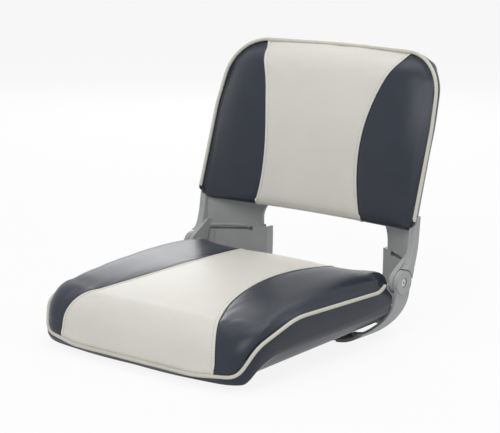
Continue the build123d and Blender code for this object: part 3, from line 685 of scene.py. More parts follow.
class SeatLines:
    """Edges of the seat's panels on its surface, on the right side, as shares across and along."""

    def __init__(self):
        self.table = seat_table()
        shares = [np.linspace(0, 1, count + 1) for count in SEAT_CELLS]
        grid = np.stack(np.meshgrid(*shares, indexing="ij"), -1)
        self.pipe_points = piping_line(SEAT_PIPING, SEAT_PIPING_RADII, PIPING_COUNT, 6)[:PIPING_COUNT]
        _, index = nearest(self.pipe_points, seat_surface(self.table, grid).reshape(-1, 3))
        self.pipe_places = soften(grid.reshape(-1, 2)[index], 8)
        along = np.linspace(0, 1, 5 * SEAT_CELLS[1] + 1)
        self.rear_share = float(along[::5][np.argmax(self.table[SEAT_CELLS[0], :, 1] > REAR_EDGE)])
        seam = seam_line(SEAT_SEAM)[::-1]
        across = np.full(len(along), 0.45)
        for _ in range(12):
            y = seat_surface(self.table, np.stack([across, along], -1))[:, 1]
            across = np.interp(y, seam[:, 1], seam[:, 0]) / SEAT_HALF_WIDTH
        order = np.argsort(self.pipe_places[:, 0])
        limit = np.interp(across, self.pipe_places[order, 0], self.pipe_places[order, 1])
        inside = (along >= self.rear_share) & ((along < limit) | (along < 0.8))
        self.seam = np.column_stack([across, along])[inside]

    def spread(self, places, shares):
        """Places along an edge, spread by their real distance on the cushion."""
        run = lengths_along(seat_surface(self.table, places))
        return read_path(places, shares, run)


def pulled(grid, last, head, reach):
    """Grid whose last row and last column are brought onto target curves.

    Each point moves by the shift of its column's last point and of its row's last point, less
    what both would count twice, and each shift fades out smoothly over the reach."""
    steps = np.linalg.norm(np.diff(grid, axis=0), axis=2)
    down = np.concatenate([np.cumsum(steps[::-1], axis=0)[::-1], np.zeros((1, grid.shape[1]))])
    steps = np.linalg.norm(np.diff(grid, axis=1), axis=2)
    over = np.concatenate([np.cumsum(steps[:, ::-1], axis=1)[:, ::-1], np.zeros((grid.shape[0], 1))], 1)
    f = rise(1 - down / reach)[..., None]
    g = rise(1 - over / reach)[..., None]
    if last is None:
        return grid + g * (head - grid[:, -1])[:, None]
    row, column = last - grid[-1], head - grid[:, -1]
    return grid + f * row[None] + g * column[:, None] - f * g * column[-1]


def seat_panels(lines):
    """Grids of the seat's middle and right side panels, brought onto their seams and piping."""
    spread = lines.spread
    seam, pipes, points = lines.seam, lines.pipe_places, lines.pipe_points
    along = stretched_shares(151, 1.3, (0.4, 1))
    # The piping from its rear end to the front corner, and from there to the middle
    corner = int(np.argmin(np.linalg.norm(points - SEAT_CORNER, axis=1)))
    meet = int(np.argmin(np.linalg.norm(pipes[corner:] - seam[-1], axis=1))) + corner
    foot = np.array([[SEAT_FOOT_SHARE, lines.rear_share]])
    outer = np.vstack([foot, pipes[: corner + 1]])
    outer_points = np.vstack([seat_surface(lines.table, foot), points[: corner + 1]])
    run, even = lengths_along(outer_points), np.linspace(0, 1, 600)
    outer, outer_points = (soften(read_path(path, even, run), 8) for path in (outer, outer_points))
    wide = stretched_shares(75, 1.3)
    front = slice(corner, meet + 1)
    places = coons(
        spread(seam, along),
        spread(outer, along),
        spread(np.array([seam[0], foot[0]]), wide),
        spread(pipes[front][::-1], wide),
    )
    side = seat_surface(lines.table, places)
    side = pulled(side, read_path(outer_points, along), read_path(points[front][::-1], wide), PULL_REACH)
    wide = stretched_shares(91, 1.3)
    places = coons(
        spread(seam * MIRROR[:2], along),
        spread(seam, along),
        spread(np.array([seam[0] * MIRROR[:2], seam[0]]), wide),
        spread(np.vstack([pipes[meet:] * MIRROR[:2], pipes[:meet:-1]]), wide),
    )
    middle = seat_surface(lines.table, places)
    toe = np.vstack([points[meet:] * MIRROR, points[:meet:-1]])
    return pulled(middle, None, read_path(toe, wide), PULL_REACH), side


def lap(distance, depth, width):
    """Height of a folded edge: raised by the depth up to the width, then level."""
    return depth * (1 - rise(distance, width, 2.0))


def quarter(distance, radius):
    """Drop of an edge rounded by a quarter circle of that radius."""
    inside = np.clip(1 - distance / radius, 0, 1)
    return radius * (1 - np.sqrt(1 - inside * inside))


def ivory_edge(distance, stitch_line):
    """Height beside a seam on the ivory side: a folded, rounded edge and a dip at its stitches."""
    dip = STITCH_DIP[0] * bell(distance, STITCH_DIP[1], stitch_line)
    fold = lap(distance, FOLD_HEIGHT, stitch_line - FOLD_SHORT)
    return fold - dip - FOLD_ROUNDING[0] * quarter(distance, FOLD_ROUNDING[1])


def navy_edge(distance):
    """Height beside a seam on the navy side: drawn in under the ivory fold."""
    return -sum(depth * bell(distance, width) for depth, width in NAVY_BELLS)


def piping_edge(distance, depth, width):
    """Height beside the piping: the cover is drawn down to it."""
    return -depth * bell(distance, width)


def raised(grid, height):
    """Grid moved along its normals by a height."""
    return grid + height[..., None] * grid_normals(grid)


def flipped(grid):
    """Mirror image of a grid on the other side of the seat, with its faces still outwards."""
    return (grid * MIRROR)[::-1]


def at_distance(grid, distance, wanted, last):
    """Curve on a grid at a distance from its first or last edge, one point per column."""
    order = slice(None, None, -1) if last else slice(None)
    rows, run = grid[order], distance[order]
    half = len(rows) // 2
    points = [
        np.stack([np.interp(wanted, run[:half, k], rows[:half, k, axis]) for axis in range(3)])
        for k in range(grid.shape[1])
    ]
    return np.stack(points)


def edge_distance(grid, edge):
    """Distance of a grid's points from an edge."""
    return nearest(grid, read_path(edge, np.linspace(0, 1, EDGE_COUNT)))[0]


def both_sides(edge):
    """Points of an edge and their mirror images."""
    return np.vstack([edge, edge * MIRROR])


def fullness(grid, piping):
    """Foam under the cover holds it a little outside the shell's form, but not at the piping."""
    return FULLNESS * rise(nearest(grid, both_sides(piping))[0], 0, FULLNESS_START)


def outwards(grid, centre):
    """Grid turned over if its normals point towards the centre, and whether it was turned."""
    turned = ((grid - centre) * grid_normals(grid)).sum() < 0
    return (grid[::-1] if turned else grid), turned


def seat_parts():
    """Seat panel grids, full at the foam and hollow beside the ear, and the lines they lie on."""
    lines = SeatLines()
    middle, side = seat_panels(lines)
    middle, _ = outwards(middle, np.zeros(3))
    side, _ = outwards(side, np.zeros(3))
    edge = lines.pipe_points
    dent = np.linalg.norm(side - EAR_HOLLOW, axis=2)
    near = bell(dent, EAR_CALM_REACH) * rise(nearest(side, edge)[0], 0, EAR_CALM_START)
    side = side + near[..., None] * (soften_both(side, 5) - side)
    hollow = EAR_HOLLOW_DEPTH * bell(dent, EAR_HOLLOW_REACH)
    hollow = hollow * rise(nearest(side, edge)[0], 0, EAR_HOLLOW_START)
    return lines, raised(middle, fullness(middle, edge)), raised(side, fullness(side, edge) - hollow)


def edge_pins(grid):
    """Points on the rim of a panel."""
    pinned = np.ones(grid.shape[:2], bool)
    pinned[1:-1, 1:-1] = False
    return pinned


# Surfaces of the back cushion


def back_rows(z):
    """Half width, edge, front middle, front shoulder and rear middle of the back at a height."""
    height = np.clip((z - BACK_BOTTOM) / BACK_HEIGHT, 0, 1)
    found = spline([s[0] for s in BACK_STATIONS], [s[1:] for s in BACK_STATIONS], height)
    return np.concatenate([found[..., :1] * BACK_HALF_WIDTH, HINGE_Y + found[..., 1:] * BACK_DEPTH], -1)


def bow(x, half, middle, end):
    """Arc across the back from its middle depth to its end depth at the half width."""
    fall = end - middle
    radius = (half**2 + fall**2) / (2 * np.where(np.abs(fall) < 1e-6, 1e-6, fall))
    return middle + radius - np.sign(radius) * np.sqrt(np.maximum(radius**2 - x**2, 0))


def back_front_table():
    """Depth of the back's front at even places across and up: an arc between the shoulders and
    a curve of three points from each shoulder to the edge, with the kinks rounded."""
    z = np.linspace(BACK_BOTTOM, BACK_BOTTOM + BACK_HEIGHT, BACK_CELLS[1] + 1)
    half, edge, middle, shoulder, _ = np.moveaxis(back_rows(z), -1, 0)
    brow = BACK_SHOULDER * half
    bulge = shoulder + BACK_BULGE * (edge - shoulder)
    across = np.linspace(-1, 1, 2 * BACK_CELLS[0] + 1)[:, None]
    x = np.abs(across) * half
    inner = bow(x, brow, middle, shoulder)
    share = np.clip((x - brow) / (half - brow), 0, 1)
    outer = (
        shoulder * 2 * (share - 0.5) * (share - 1)
        - bulge * 4 * share * (share - 1)
        + edge * 2 * share * (share - 0.5)
    )
    return soften(np.where(x < brow, inner, outer), 4)[..., None]


def back_front(table, x, z):
    """Depth of the back's front at a place seen from the front."""
    across = np.clip(x / back_rows(z)[..., 0], -1, 1)
    up = (z - BACK_BOTTOM) / BACK_HEIGHT
    return look_up(table, (across + 1) * BACK_CELLS[0], up * BACK_CELLS[1])[..., 0]


def back_rear(x, z):
    """Depth of the back's rear at a place seen from the front."""
    half, edge, _, _, rear = np.moveaxis(back_rows(z), -1, 0)
    return bow(np.clip(x, -half, half), half, rear, edge + BACK_EDGE_DEPTH)


def back_outline_foot(x):
    """Height of the lower outline of the back: a straight edge with a rounded corner."""
    over = np.clip(np.abs(x) - (BACK_HALF_WIDTH - BACK_CORNER), 0, BACK_CORNER)
    return BACK_BOTTOM + BACK_CORNER - np.sqrt(BACK_CORNER**2 - over**2)


class BackLines:
    """Edges of the back's panels seen from the front, on the right side."""

    def __init__(self):
        self.table = back_front_table()
        self.half = piping_line(BACK_PIPING, BACK_PIPING_RADII, PIPING_COUNT, 6)[:PIPING_COUNT]
        self.outline = self.half[:, ::2]
        seam = seam_line(BACK_SEAM)
        top = np.interp(seam[:, 0], self.half[::-1, 0], self.half[::-1, 2])
        seam = seam[(seam[:, 1] >= BACK_BOTTOM) & (seam[:, 1] <= top)]
        seam[0, 1] = BACK_BOTTOM
        # Numbers of the outline's points where the seam and the top corner's line meet it
        self.meet = int(np.argmin(np.linalg.norm(self.outline - seam[-1], axis=1)))
        self.seam = np.vstack([seam[:-1], self.outline[self.meet]])
        across, up = (self.outline - BACK_CORNER_POINT).T
        self.corner = int(np.argmin(np.abs(up - across)))

    def lift(self, places):
        """Points of the front at places seen from the front."""
        x, z = places[..., 0], places[..., 1]
        return np.stack([x, back_front(self.table, x, z), z], -1)


def foot_roll(face, foot, inward, rounding, behind):
    """Rows that carry a front panel round its lower edge and back below it.

    A row goes from behind forward along the lower outline, then turns up to the face by a
    quarter circle, as far inward as forward."""
    angles = np.linspace(0, math.pi / 2, 9)[:-1, None]
    outline = foot[None] + inward[None] * (rounding * (1 - np.cos(angles)))[..., None]
    depth = face + rounding * (1 - np.sin(angles))
    turn = np.stack([outline[..., 0], depth, outline[..., 1]], -1)
    shares = np.linspace(0, 1, 9)[:-1, None]
    under_depth = behind * (1 - shares) + (face + rounding) * shares
    flat = np.broadcast_to(foot, (8,) + foot.shape)
    under = np.stack([flat[..., 0], under_depth, flat[..., 1]], -1)
    return np.concatenate([under, turn])


def back_footing(lines, x):
    """Lower outline of the back, its inward direction, the rounding and the depth it reaches."""
    foot = np.column_stack([x, back_outline_foot(x)])
    over = np.clip((np.abs(x) - (BACK_HALF_WIDTH - BACK_CORNER)) / BACK_CORNER, 0, 0.985)
    inward = np.column_stack([-np.sign(x) * over, np.sqrt(1 - over**2)])
    face = lines.lift(foot + 4 * inward)[:, 1]
    wall = rise(np.abs(x), LEG_INSIDE, 16)
    behind = back_rear(x, foot[:, 1]) - 1.0 - wall * SHELL_WALL_ROOM
    rounding = np.clip((behind - face) * 0.6, 1.0, 10.0) * (1 - 0.8 * rise(np.abs(x), 199, 13))
    return foot, inward, rounding, np.maximum(behind, face + rounding + 0.2)


def back_panel(lines, x, first, last, head):
    """Front panel of the back: the face patch above the foot roll, then the roll's rows below.

    The face is drawn onto the piping on both sides, above the lower corners."""
    up = stretched_shares(121, 1.6)
    foot, inward, rounding, behind = back_footing(lines, x)
    face_foot = foot + inward * rounding[:, None]
    first = np.vstack([face_foot[:1], first[first[:, 1] > face_foot[0, 1] + 2]])
    last = np.vstack([face_foot[-1:], last[last[:, 1] > face_foot[-1, 1] + 2]])
    head = read_path(head, shares_along(face_foot))
    places = coons(read_path(first, up), read_path(last, up), face_foot, head)
    face = lines.lift(places)
    drawn, loose = face, lines.lift(lines.outline)
    for side in (np.ones(3), MIRROR):
        drawn = draw_to(drawn, loose * side, lines.half * side, BACK_PULL_REACH)
    face = face + rise(places[..., 1:], *BACK_PULL_START) * (drawn - face)
    depth = face[:, 0, 1]
    roll = foot_roll(depth, foot, inward, rounding, np.maximum(behind, depth + rounding + 0.2))
    return np.concatenate([roll.transpose(1, 0, 2), face], 1)


def back_panels(lines):
    """Grids of the back's middle and right side panels: rows up the back, columns across."""
    seam, outline = lines.seam, lines.outline
    corner, meet = lines.corner, lines.meet
    x = seam[0, 0] + stretched_shares(69, 2.0) * (BACK_HALF_WIDTH - 0.4 - seam[0, 0])
    side = back_panel(lines, x, seam, outline[: corner + 1], outline[corner : meet + 1][::-1])
    x = seam[0, 0] * (2 * stretched_shares(91, 2.0) - 1)
    top = outline[meet:]
    head = np.vstack([top * MIRROR[:2], top[::-1]])
    return back_panel(lines, x, seam * MIRROR[:2], seam, head), side


# Finishes


def linear(code):
    """Linear colour of an sRGB hex code."""
    values = np.array([int(code[k : k + 2], 16) for k in (1, 3, 5)]) / 255
    found = np.where(values <= 0.04045, values / 12.92, ((values + 0.055) / 1.055) ** 2.4)
    return tuple(float(value) for value in found)


def add_node(tree, kind, inputs=None, **settings):
    """Adds a node with its settings, and fills its inputs with values or links."""
    made = tree.nodes.new(kind)
    for name, value in settings.items():
        setattr(made, name, value)
    for name, value in (inputs or {}).items():
        if isinstance(value, bpy.types.NodeSocket):
            tree.links.new(value, made.inputs[name])
        else:
            made.inputs[name].default_value = value
    return made


def new_material(name):
    """Empty material with its tree, its output and coordinates in millimetres."""
    material = bpy.data.materials.new(name)
    material.use_nodes = True
    tree = material.node_tree
    tree.nodes.clear()
    output = add_node(tree, "ShaderNodeOutputMaterial")
    place = add_node(tree, "ShaderNodeTexCoord").outputs["Object"]
    millimetres = add_node(tree, "ShaderNodeMapping", {"Vector": place, "Scale": (1000, 1000, 1000)})
    return material, tree, output, millimetres.outputs["Vector"]


def shades(tree, factor, dark, light):
    """Colour that runs from dark to light with the factor."""
    ramp = add_node(tree, "ShaderNodeValToRGB", {"Fac": factor})
    ramp.color_ramp.elements[0].position = 0.3
    ramp.color_ramp.elements[1].position = 0.7
    ramp.color_ramp.elements[0].color = (*dark, 1)
    ramp.color_ramp.elements[1].color = (*light, 1)
    return ramp.outputs["Color"]


def scaled(colour, factor):
    """Colour made lighter or darker."""
    return tuple(min(1.0, value * factor) for value in colour[:3])


def finished(material, tree, output, inputs):
    """Material whose surface is the principled shader with these inputs."""
    shader = add_node(tree, "ShaderNodeBsdfPrincipled", inputs)
    tree.links.new(shader.outputs["BSDF"], output.inputs["Surface"])
    return material


def noise(tree, place, grain, detail):
    """Cloudy pattern with a grain of that many millimetres."""
    inputs = {"Vector": place, "Scale": 1 / grain, "Detail": detail}
    return add_node(tree, "ShaderNodeTexNoise", inputs).outputs["Fac"]


def cells(tree, place, grain):
    """Pattern of cells of that many millimetres, low in the middle of each."""
    inputs = {"Vector": place, "Scale": 1 / grain}
    return add_node(tree, "ShaderNodeTexVoronoi", inputs, feature="F1").outputs["Distance"]


def varied(tree, factor, low, high):
    """Value that runs from low to high with the factor."""
    inputs = {"Value": factor, "To Min": low, "To Max": high}
    return add_node(tree, "ShaderNodeMapRange", inputs).outputs["Result"]


def bumped(tree, height, strength, distance, **inputs):
    """Normal that follows a fine relief."""
    inputs.update(Height=height, Strength=strength, Distance=distance)
    return add_node(tree, "ShaderNodeBump", inputs).outputs["Normal"]


def coated_vinyl(name, colour, roughness, contrast, gloss_level, sheen):
    """Marine upholstery vinyl: a knit backing under a calendered, embossed PVC skin.

    The emboss gives the skin a fine pebbled leather grain and its satin lacquer a soft gloss.
    On the navy a little sheen lightens it at grazing angles. The grain is about 0.8 mm on the
    real one, and is drawn at 1.6 mm so that it shows."""
    material, tree, output, place = new_material(name)
    cloud = noise(tree, place, 55, 3.0)
    relief = {0: cells(tree, place, 1.6), 1: noise(tree, place, 1.1, 2.0)}
    height = add_node(tree, "ShaderNodeMath", relief, operation="ADD").outputs[0]
    inputs = {
        "Base Color": shades(tree, cloud, scaled(colour, 1 - contrast), scaled(colour, 1 + contrast)),
        "Roughness": varied(tree, cloud, roughness - 0.03, roughness + 0.04),
        "Normal": bumped(tree, height, 0.28, 0.00016),
        "Specular IOR Level": gloss_level,
        "Sheen Weight": sheen,
        "Sheen Roughness": 0.3,
        "Sheen Tint": (0.82, 0.84, 0.92, 1),
    }
    return finished(material, tree, output, inputs)


def moulded_plastic(name, colour, roughness, grain, edge):
    """Injection-moulded polypropylene or nylon: matt from a spark-eroded mould, so it has a fine
    even grain and no clear reflections, and its edges are softly rounded."""
    material, tree, output, place = new_material(name)
    tint = shades(tree, noise(tree, place, 40, 2.0), scaled(colour, 0.96), scaled(colour, 1.04))
    rounded = add_node(tree, "ShaderNodeBevel", {"Radius": edge}, samples=6).outputs["Normal"]
    normal = bumped(tree, noise(tree, place, grain, 2.0), 0.25, 0.0001, Normal=rounded)
    inputs = {"Base Color": tint, "Roughness": roughness, "Normal": normal, "IOR": 1.49}
    return finished(material, tree, output, inputs)


def turned_metal(name, colour, roughness):
    """Turned and polished metal, with faint clouds where the polish is finer."""
    material, tree, output, place = new_material(name)
    marks = noise(tree, place, 0.7, 1.0)
    tint = shades(tree, marks, scaled(colour, 0.9), colour)
    gloss = varied(tree, marks, roughness, roughness + 0.12)
    return finished(material, tree, output, {"Base Color": tint, "Roughness": gloss, "Metallic": 1.0})


def cut_foam(name, colour):
    """Cut polyurethane foam: open cells of about 1 mm, quite matt, with painted shade that darkens the
    middle of each cell.
    """
    material, tree, output, place = new_material(name)
    pore_relief_and_painted_shade = cells(tree, place, 1.0)
    # Painted shade: the colour is darker in the middle of each cell, where its pore lies; the same
    # pattern is the relief
    tint = shades(tree, pore_relief_and_painted_shade, scaled(colour, 0.8), colour)
    normal = bumped(tree, pore_relief_and_painted_shade, 0.6, 0.0006)
    return finished(material, tree, output, {"Base Color": tint, "Roughness": 0.95, "Normal": normal})


def spun_thread(name, colour):
    """Bonded polyester thread: two plies twisted together, with a dull sheen."""
    material, tree, output, place = new_material(name)
    tint = shades(tree, noise(tree, place, 0.5, 1.0), scaled(colour, 0.82), colour)
    return finished(material, tree, output, {"Base Color": tint, "Roughness": 0.7})


# Each finish by its colour's name: the material's name, how it is made, and its values
FINISHES = {
    "ivory": ("coated_vinyl_ivory", coated_vinyl, (0.46, 0.02, 0.45, 0.0)),
    "navy": ("coated_vinyl_navy", coated_vinyl, (0.34, 0.08, 0.36, 0.12)),
    "piping": ("coated_vinyl_piping", coated_vinyl, (0.48, 0.04, 0.45, 0.0)),
    "grey": ("moulded_polypropylene_grey", moulded_plastic, (0.52, 1.2, 0.0009)),
    "nylon": ("moulded_nylon_white", moulded_plastic, (0.45, 1.0, 0.0002)),
    "steel": ("polished_stainless_steel", turned_metal, (0.2,)),
    "brass": ("turned_brass", turned_metal, (0.3,)),
    "foam": ("polyurethane_foam", cut_foam, ()),
    "thread": ("polyester_thread", spun_thread, ()),
}


def finishes(context):
    """Materials of the seat, made once."""
    colours = context.scene.boat_seat_colours
    return {
        key: bpy.data.materials.get(name) or make(name, tuple(getattr(colours, key)), *values)
        for key, (name, make, values) in FINISHES.items()
    }


def dress(made, material, body=None, replaced=()):
    """Gives a piece its material and body, and hides the parts of the solid model that it replaces."""
    made.data.materials.clear()
    made.data.materials.append(material)
    if body:
        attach(made, body)
    if replaced:
        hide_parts(*replaced)
    return made


# Stitching


def stitches(name, path, normals, length, pitch, radius):
    """Row of short stitches: each is a small capsule along the path that dives at both ends.

    Its centre line is sunk by the square of the place along it, and its radius follows a half
    circle at the ends."""
    run = lengths_along(path)
    count = int(run[-1] / pitch)
    starts = (np.arange(count) + 0.25) * pitch
    along = np.linspace(-1, 1, 9)
    places = starts[:, None] + (along + 1) / 2 * length
    centre = np.stack([np.interp(places, run, path[:, axis]) for axis in range(3)], -1)
    normal = unit(np.stack([np.interp(places, run, normals[:, axis]) for axis in range(3)], -1))
    tangent = unit(np.gradient(centre, axis=1))
    side = np.cross(tangent, normal)
    centre = centre + normal * (0.5 * radius - 1.1 * radius * along**4)[None, :, None]
    width = radius * np.sqrt(np.clip(1.03 - along**6, 0, 1))
    angles = np.linspace(0, math.tau, 7)[:-1]
    rings = centre[:, :, None] + width[None, :, None, None] * (
        np.cos(angles)[None, None, :, None] * side[:, :, None]
        + np.sin(angles)[None, None, :, None] * normal[:, :, None]
    )
    index = np.arange(count * 9 * 6).reshape(count, 9, 6)
    ends = np.concatenate([index[:, 0, ::-1], index[:, -1]])
    return mesh_object(name, rings.reshape(-1, 3), ring_faces(index), ends)


def joined(name, parts):
    """Several mesh objects made one."""
    for part in bpy.context.selected_objects:
        part.select_set(False)
    for part in parts:
        part.select_set(True)
    bpy.context.view_layer.objects.active = parts[0]
    bpy.ops.object.join()
    parts[0].name = name
    parts[0].data.name = name
    return parts[0]


def sew_front(context, cushion, body, middle, side, seam, pipe, tuck, valley, first_stitch):
    """Makes a cushion's ivory middle panel with two rows of top stitching, and its navy sides.

    The middle is folded over the sides at the seams and drawn down to the piping by the tuck, a
    depth and a width. The sides have a shallow valley beside the piping, given by its depth,
    place, width and a factor."""
    sizes, look = context.scene.boat_seat_sizes, finishes(context)
    stitch = sizes.stitch_line / MM
    seams = np.minimum(edge_distance(middle, middle[0]), edge_distance(middle, middle[-1]))
    pipes, _ = nearest(middle, both_sides(pipe))
    cover = raised(middle, ivory_edge(seams, stitch) + piping_edge(pipes, *tuck))
    made = sheet_object(f"{cushion}_cushion_middle", cover, sizes.cover_thickness)
    dress(made, look["ivory"], body, [f"{cushion}_middle_panel"])
    normals = grid_normals(cover)
    sewn = slice(first_stitch, -6)
    rows = [
        stitches(
            f"{cushion}_stitches_{int(last)}",
            at_distance(cover, seams, stitch, last)[sewn],
            at_distance(normals, seams, stitch, last)[sewn],
            sizes.stitch_length / MM,
            sizes.stitch_pitch / MM,
            sizes.thread_radius / MM,
        )
        for last in (False, True)
    ]
    dress(joined(f"{cushion}_top_stitching", rows), look["thread"], body)
    seams, (pipes, _) = edge_distance(side, seam), nearest(side, pipe)
    depth, place, width, factor = valley
    dip = depth * bell(pipes, width, place) * factor * rise(seams, 0, VALLEY_START)
    cover = raised(side, navy_edge(seams) + piping_edge(pipes, *SIDE_TUCK) - dip)
    for name, grid in (("right", cover), ("left", flipped(cover))):
        made = sheet_object(f"{cushion}_cushion_side_{name}", grid, sizes.cover_thickness)
        dress(made, look["navy"], body, [f"{cushion}_side_panel_{name}"])


# Settings


def colour_setting(name, description, code):
    """Colour of a finish, from its sRGB hex code."""
    return bpy.props.FloatVectorProperty(
        name=name, description=description, subtype="COLOR", size=3, min=0, max=1, default=linear(code)
    )


def size_setting(name, description, value):
    """Length in metres."""
    return bpy.props.FloatProperty(
        name=name, description=description, subtype="DISTANCE", unit="LENGTH", min=0, default=value
    )


class BoatSeatSizes(bpy.types.PropertyGroup):
    """Sizes of the upholstery."""

    cover_thickness: size_setting("Cover thickness", "Thickness of the vinyl", 0.0015)
    piping_radius: size_setting("Piping radius", "Radius of the covered welt cord", 0.0027)
    stitch_line: size_setting("Stitch line", "Distance of the top stitching from its seam", 0.0050)
    stitch_length: size_setting("Stitch length", "Length of a stitch that shows", 0.0034)
    stitch_pitch: size_setting("Stitch pitch", "Distance from stitch to stitch", 0.0046)
    thread_radius: size_setting("Thread radius", "Radius of the sewing thread", 0.00045)
    seat_swell: size_setting("Seat swell", "Most that the seat's foam lifts its cover", 0.003)
    back_swell: size_setting("Back swell", "Most that the back's foam lifts its cover", 0.003)


class BoatSeatColours(bpy.types.PropertyGroup):
    """Colours of the finishes."""

    ivory: colour_setting("Ivory vinyl", "Middle panels", "#DCDAD2")
    navy: colour_setting("Navy vinyl", "Side panels, gusset and rear panel", "#242A36")
    piping: colour_setting("Piping vinyl", "Welt cord covers", "#D0CDC1")
    grey: colour_setting("Grey plastic", "Seat shell and back shell", "#A9ABAB")
    nylon: colour_setting("White nylon", "Washers and bushes", "#DCDCD6")
    steel: colour_setting("Steel", "Hinge pins and nuts", "#C9C8C4")
    brass: colour_setting("Brass", "Threaded inserts", "#C8A85A")
    foam: colour_setting("Foam", "Foam blocks", "#E2D9B5")
    thread: colour_setting("Thread", "Top stitching", "#CFCBBC")


# Operators


class BOATSEAT_OT_seat_cover(bpy.types.Operator):
    """Middle and side panels of the seat, sewn together and to the piping"""

    bl_idname = "boatseat.seat_cover"
    bl_label = "Seat cover"

    def execute(self, context):
        swell = context.scene.boat_seat_sizes.seat_swell / MM
        lines, middle, side = seat_parts()
        middle = raised(middle, padded_swell(middle, edge_pins(middle), swell, "seat_middle_swell"))
        side = raised(side, padded_swell(side, edge_pins(side), SIDE_SWELL * swell, "seat_side_swell"))
        seam = max(middle[0], middle[-1], key=lambda row: row[:, 0].sum())
        valley = (*SEAT_VALLEY, rise(side[..., 1], -170, 60))
        sew_front(context, "seat", "seat", middle, side, seam, lines.pipe_points, SEAT_TUCK, valley, 8)
        return {"FINISHED"}


class BOATSEAT_OT_seat_gusset(bpy.types.Operator):
    """Gusset below the piping of the seat, with its crease and its hem"""

    bl_idname = "boatseat.seat_gusset"
    bl_label = "Seat gusset"

    def execute(self, context):
        sizes = context.scene.boat_seat_sizes
        line = piping_line(SEAT_PIPING, SEAT_PIPING_RADII, PIPING_COUNT, 6)
        half = line[PIPING_COUNT - 1 :: -1]
        ribs = np.array(GUSSET_RIBS, float)
        run = lengths_along(half)
        knots = run[nearest(ribs[:, 0], half)[1]]
        rows = [half] + [spline(knots, ribs[:, k], run) for k in (1, 2, 3)]
        share = np.linspace(0, 1, 31)[1:, None]
        inward = np.array(GUSSET_RETURN, float)
        rows = [np.vstack([row, row[-1] + share * (end - row[-1])]) for row, end in zip(rows, inward)]
        top, crease, corner, hem = (soften(np.vstack([(row * MIRROR)[:0:-1], row]), 5) for row in rows)
        # Direction in which the wall bulges, level and away from the middle
        out = crease - np.array([0.0, 20.0, 0.0])
        out[:, 2] = 0
        wall, facet, under = (
            first * (1 - share) + last * share
            for first, last, share in (
                (top, crease, np.linspace(0, 1, 15)[:, None, None]),
                (crease, corner, np.linspace(0, 1, 6)[1:, None, None]),
                (corner, hem, np.linspace(0, 1, 19)[1:, None, None]),
            )
        )
        bulge = np.sin(math.pi * np.linspace(0, 1, 15)[:, None, None])
        wall = wall + GUSSET_BULGE * bulge * unit(out)
        under[..., 2] = np.minimum(under[..., 2], seat_underside(under[..., 0], under[..., 1]) - 0.4)
        cover = soften(np.concatenate([wall, facet, under]), 0.8)[:, ::3].transpose(1, 0, 2)
        cover, _ = outwards(cover, np.array([0.0, 0.0, 60.0]))
        made = sheet_object("seat_cushion_gusset", cover, sizes.cover_thickness)
        dress(made, finishes(context)["navy"], "seat", ["seat_gusset"])
        return {"FINISHED"}


class BOATSEAT_OT_piping(bpy.types.Operator):
    """Welt cords round the seat and the back"""

    bl_idname = "boatseat.piping"
    bl_label = "Piping"

    def execute(self, context):
        look = finishes(context)["piping"]
        radius = context.scene.boat_seat_sizes.piping_radius / MM
        angles = np.linspace(0, math.tau, 24, endpoint=False)
        turn = (angles + math.pi) % math.tau - math.pi
        seat = piping_line(SEAT_PIPING, SEAT_PIPING_RADII, 260, 3)
        outward = seat - np.array([0.0, -10.0, 60.0])
        made = tube_object("seat_cushion_piping", seat, outward, np.full(24, radius))
        dress(made, look, "seat", ["seat_piping"])
        # The back's cord has a fine groove along its outer side, where its cover is sewn
        back = piping_line(BACK_PIPING, BACK_PIPING_RADII, 260, 3)
        outward = unit((back - np.array([0.0, 0.0, 300.0])) * np.array([1.0, 0.0, 1.0]))
        outward = outward * 0.7 + np.array([0.0, -0.7, 0.0])
        groove = PIPING_GROOVE[0] * bell(turn, PIPING_GROOVE[1])
        made = tube_object("back_cushion_piping", back, outward, radius * 1.05 - groove)
        dress(made, look, "backrest", ["back_piping"])
        return {"FINISHED"}


class BOATSEAT_OT_back_cover(bpy.types.Operator):
    """Front panels of the back's sleeve, sewn together and to the piping"""

    bl_idname = "boatseat.back_cover"
    bl_label = "Back cover"

    def execute(self, context):
        swell = context.scene.boat_seat_sizes.back_swell / MM
        lines = BackLines()
        swollen_panels = []
        names = (("back_middle_swell", 1.0), ("back_side_swell", SIDE_SWELL))
        for grid, (name, share) in zip(back_panels(lines), names):
            grid, turned = outwards(grid, BACK_BEHIND)
            pinned = edge_pins(grid)
            pinned[:, :FOOT_PINS] = True
            swollen_panels.append(raised(grid, padded_swell(grid, pinned, share * swell, name)))
        middle, side = swollen_panels
        seam = side[-1] if turned else side[0]
        valley = (*BACK_VALLEY, 1.0)
        sew_front(context, "back", "backrest", middle, side, seam, lines.half, SIDE_TUCK, valley, 10)
        return {"FINISHED"}


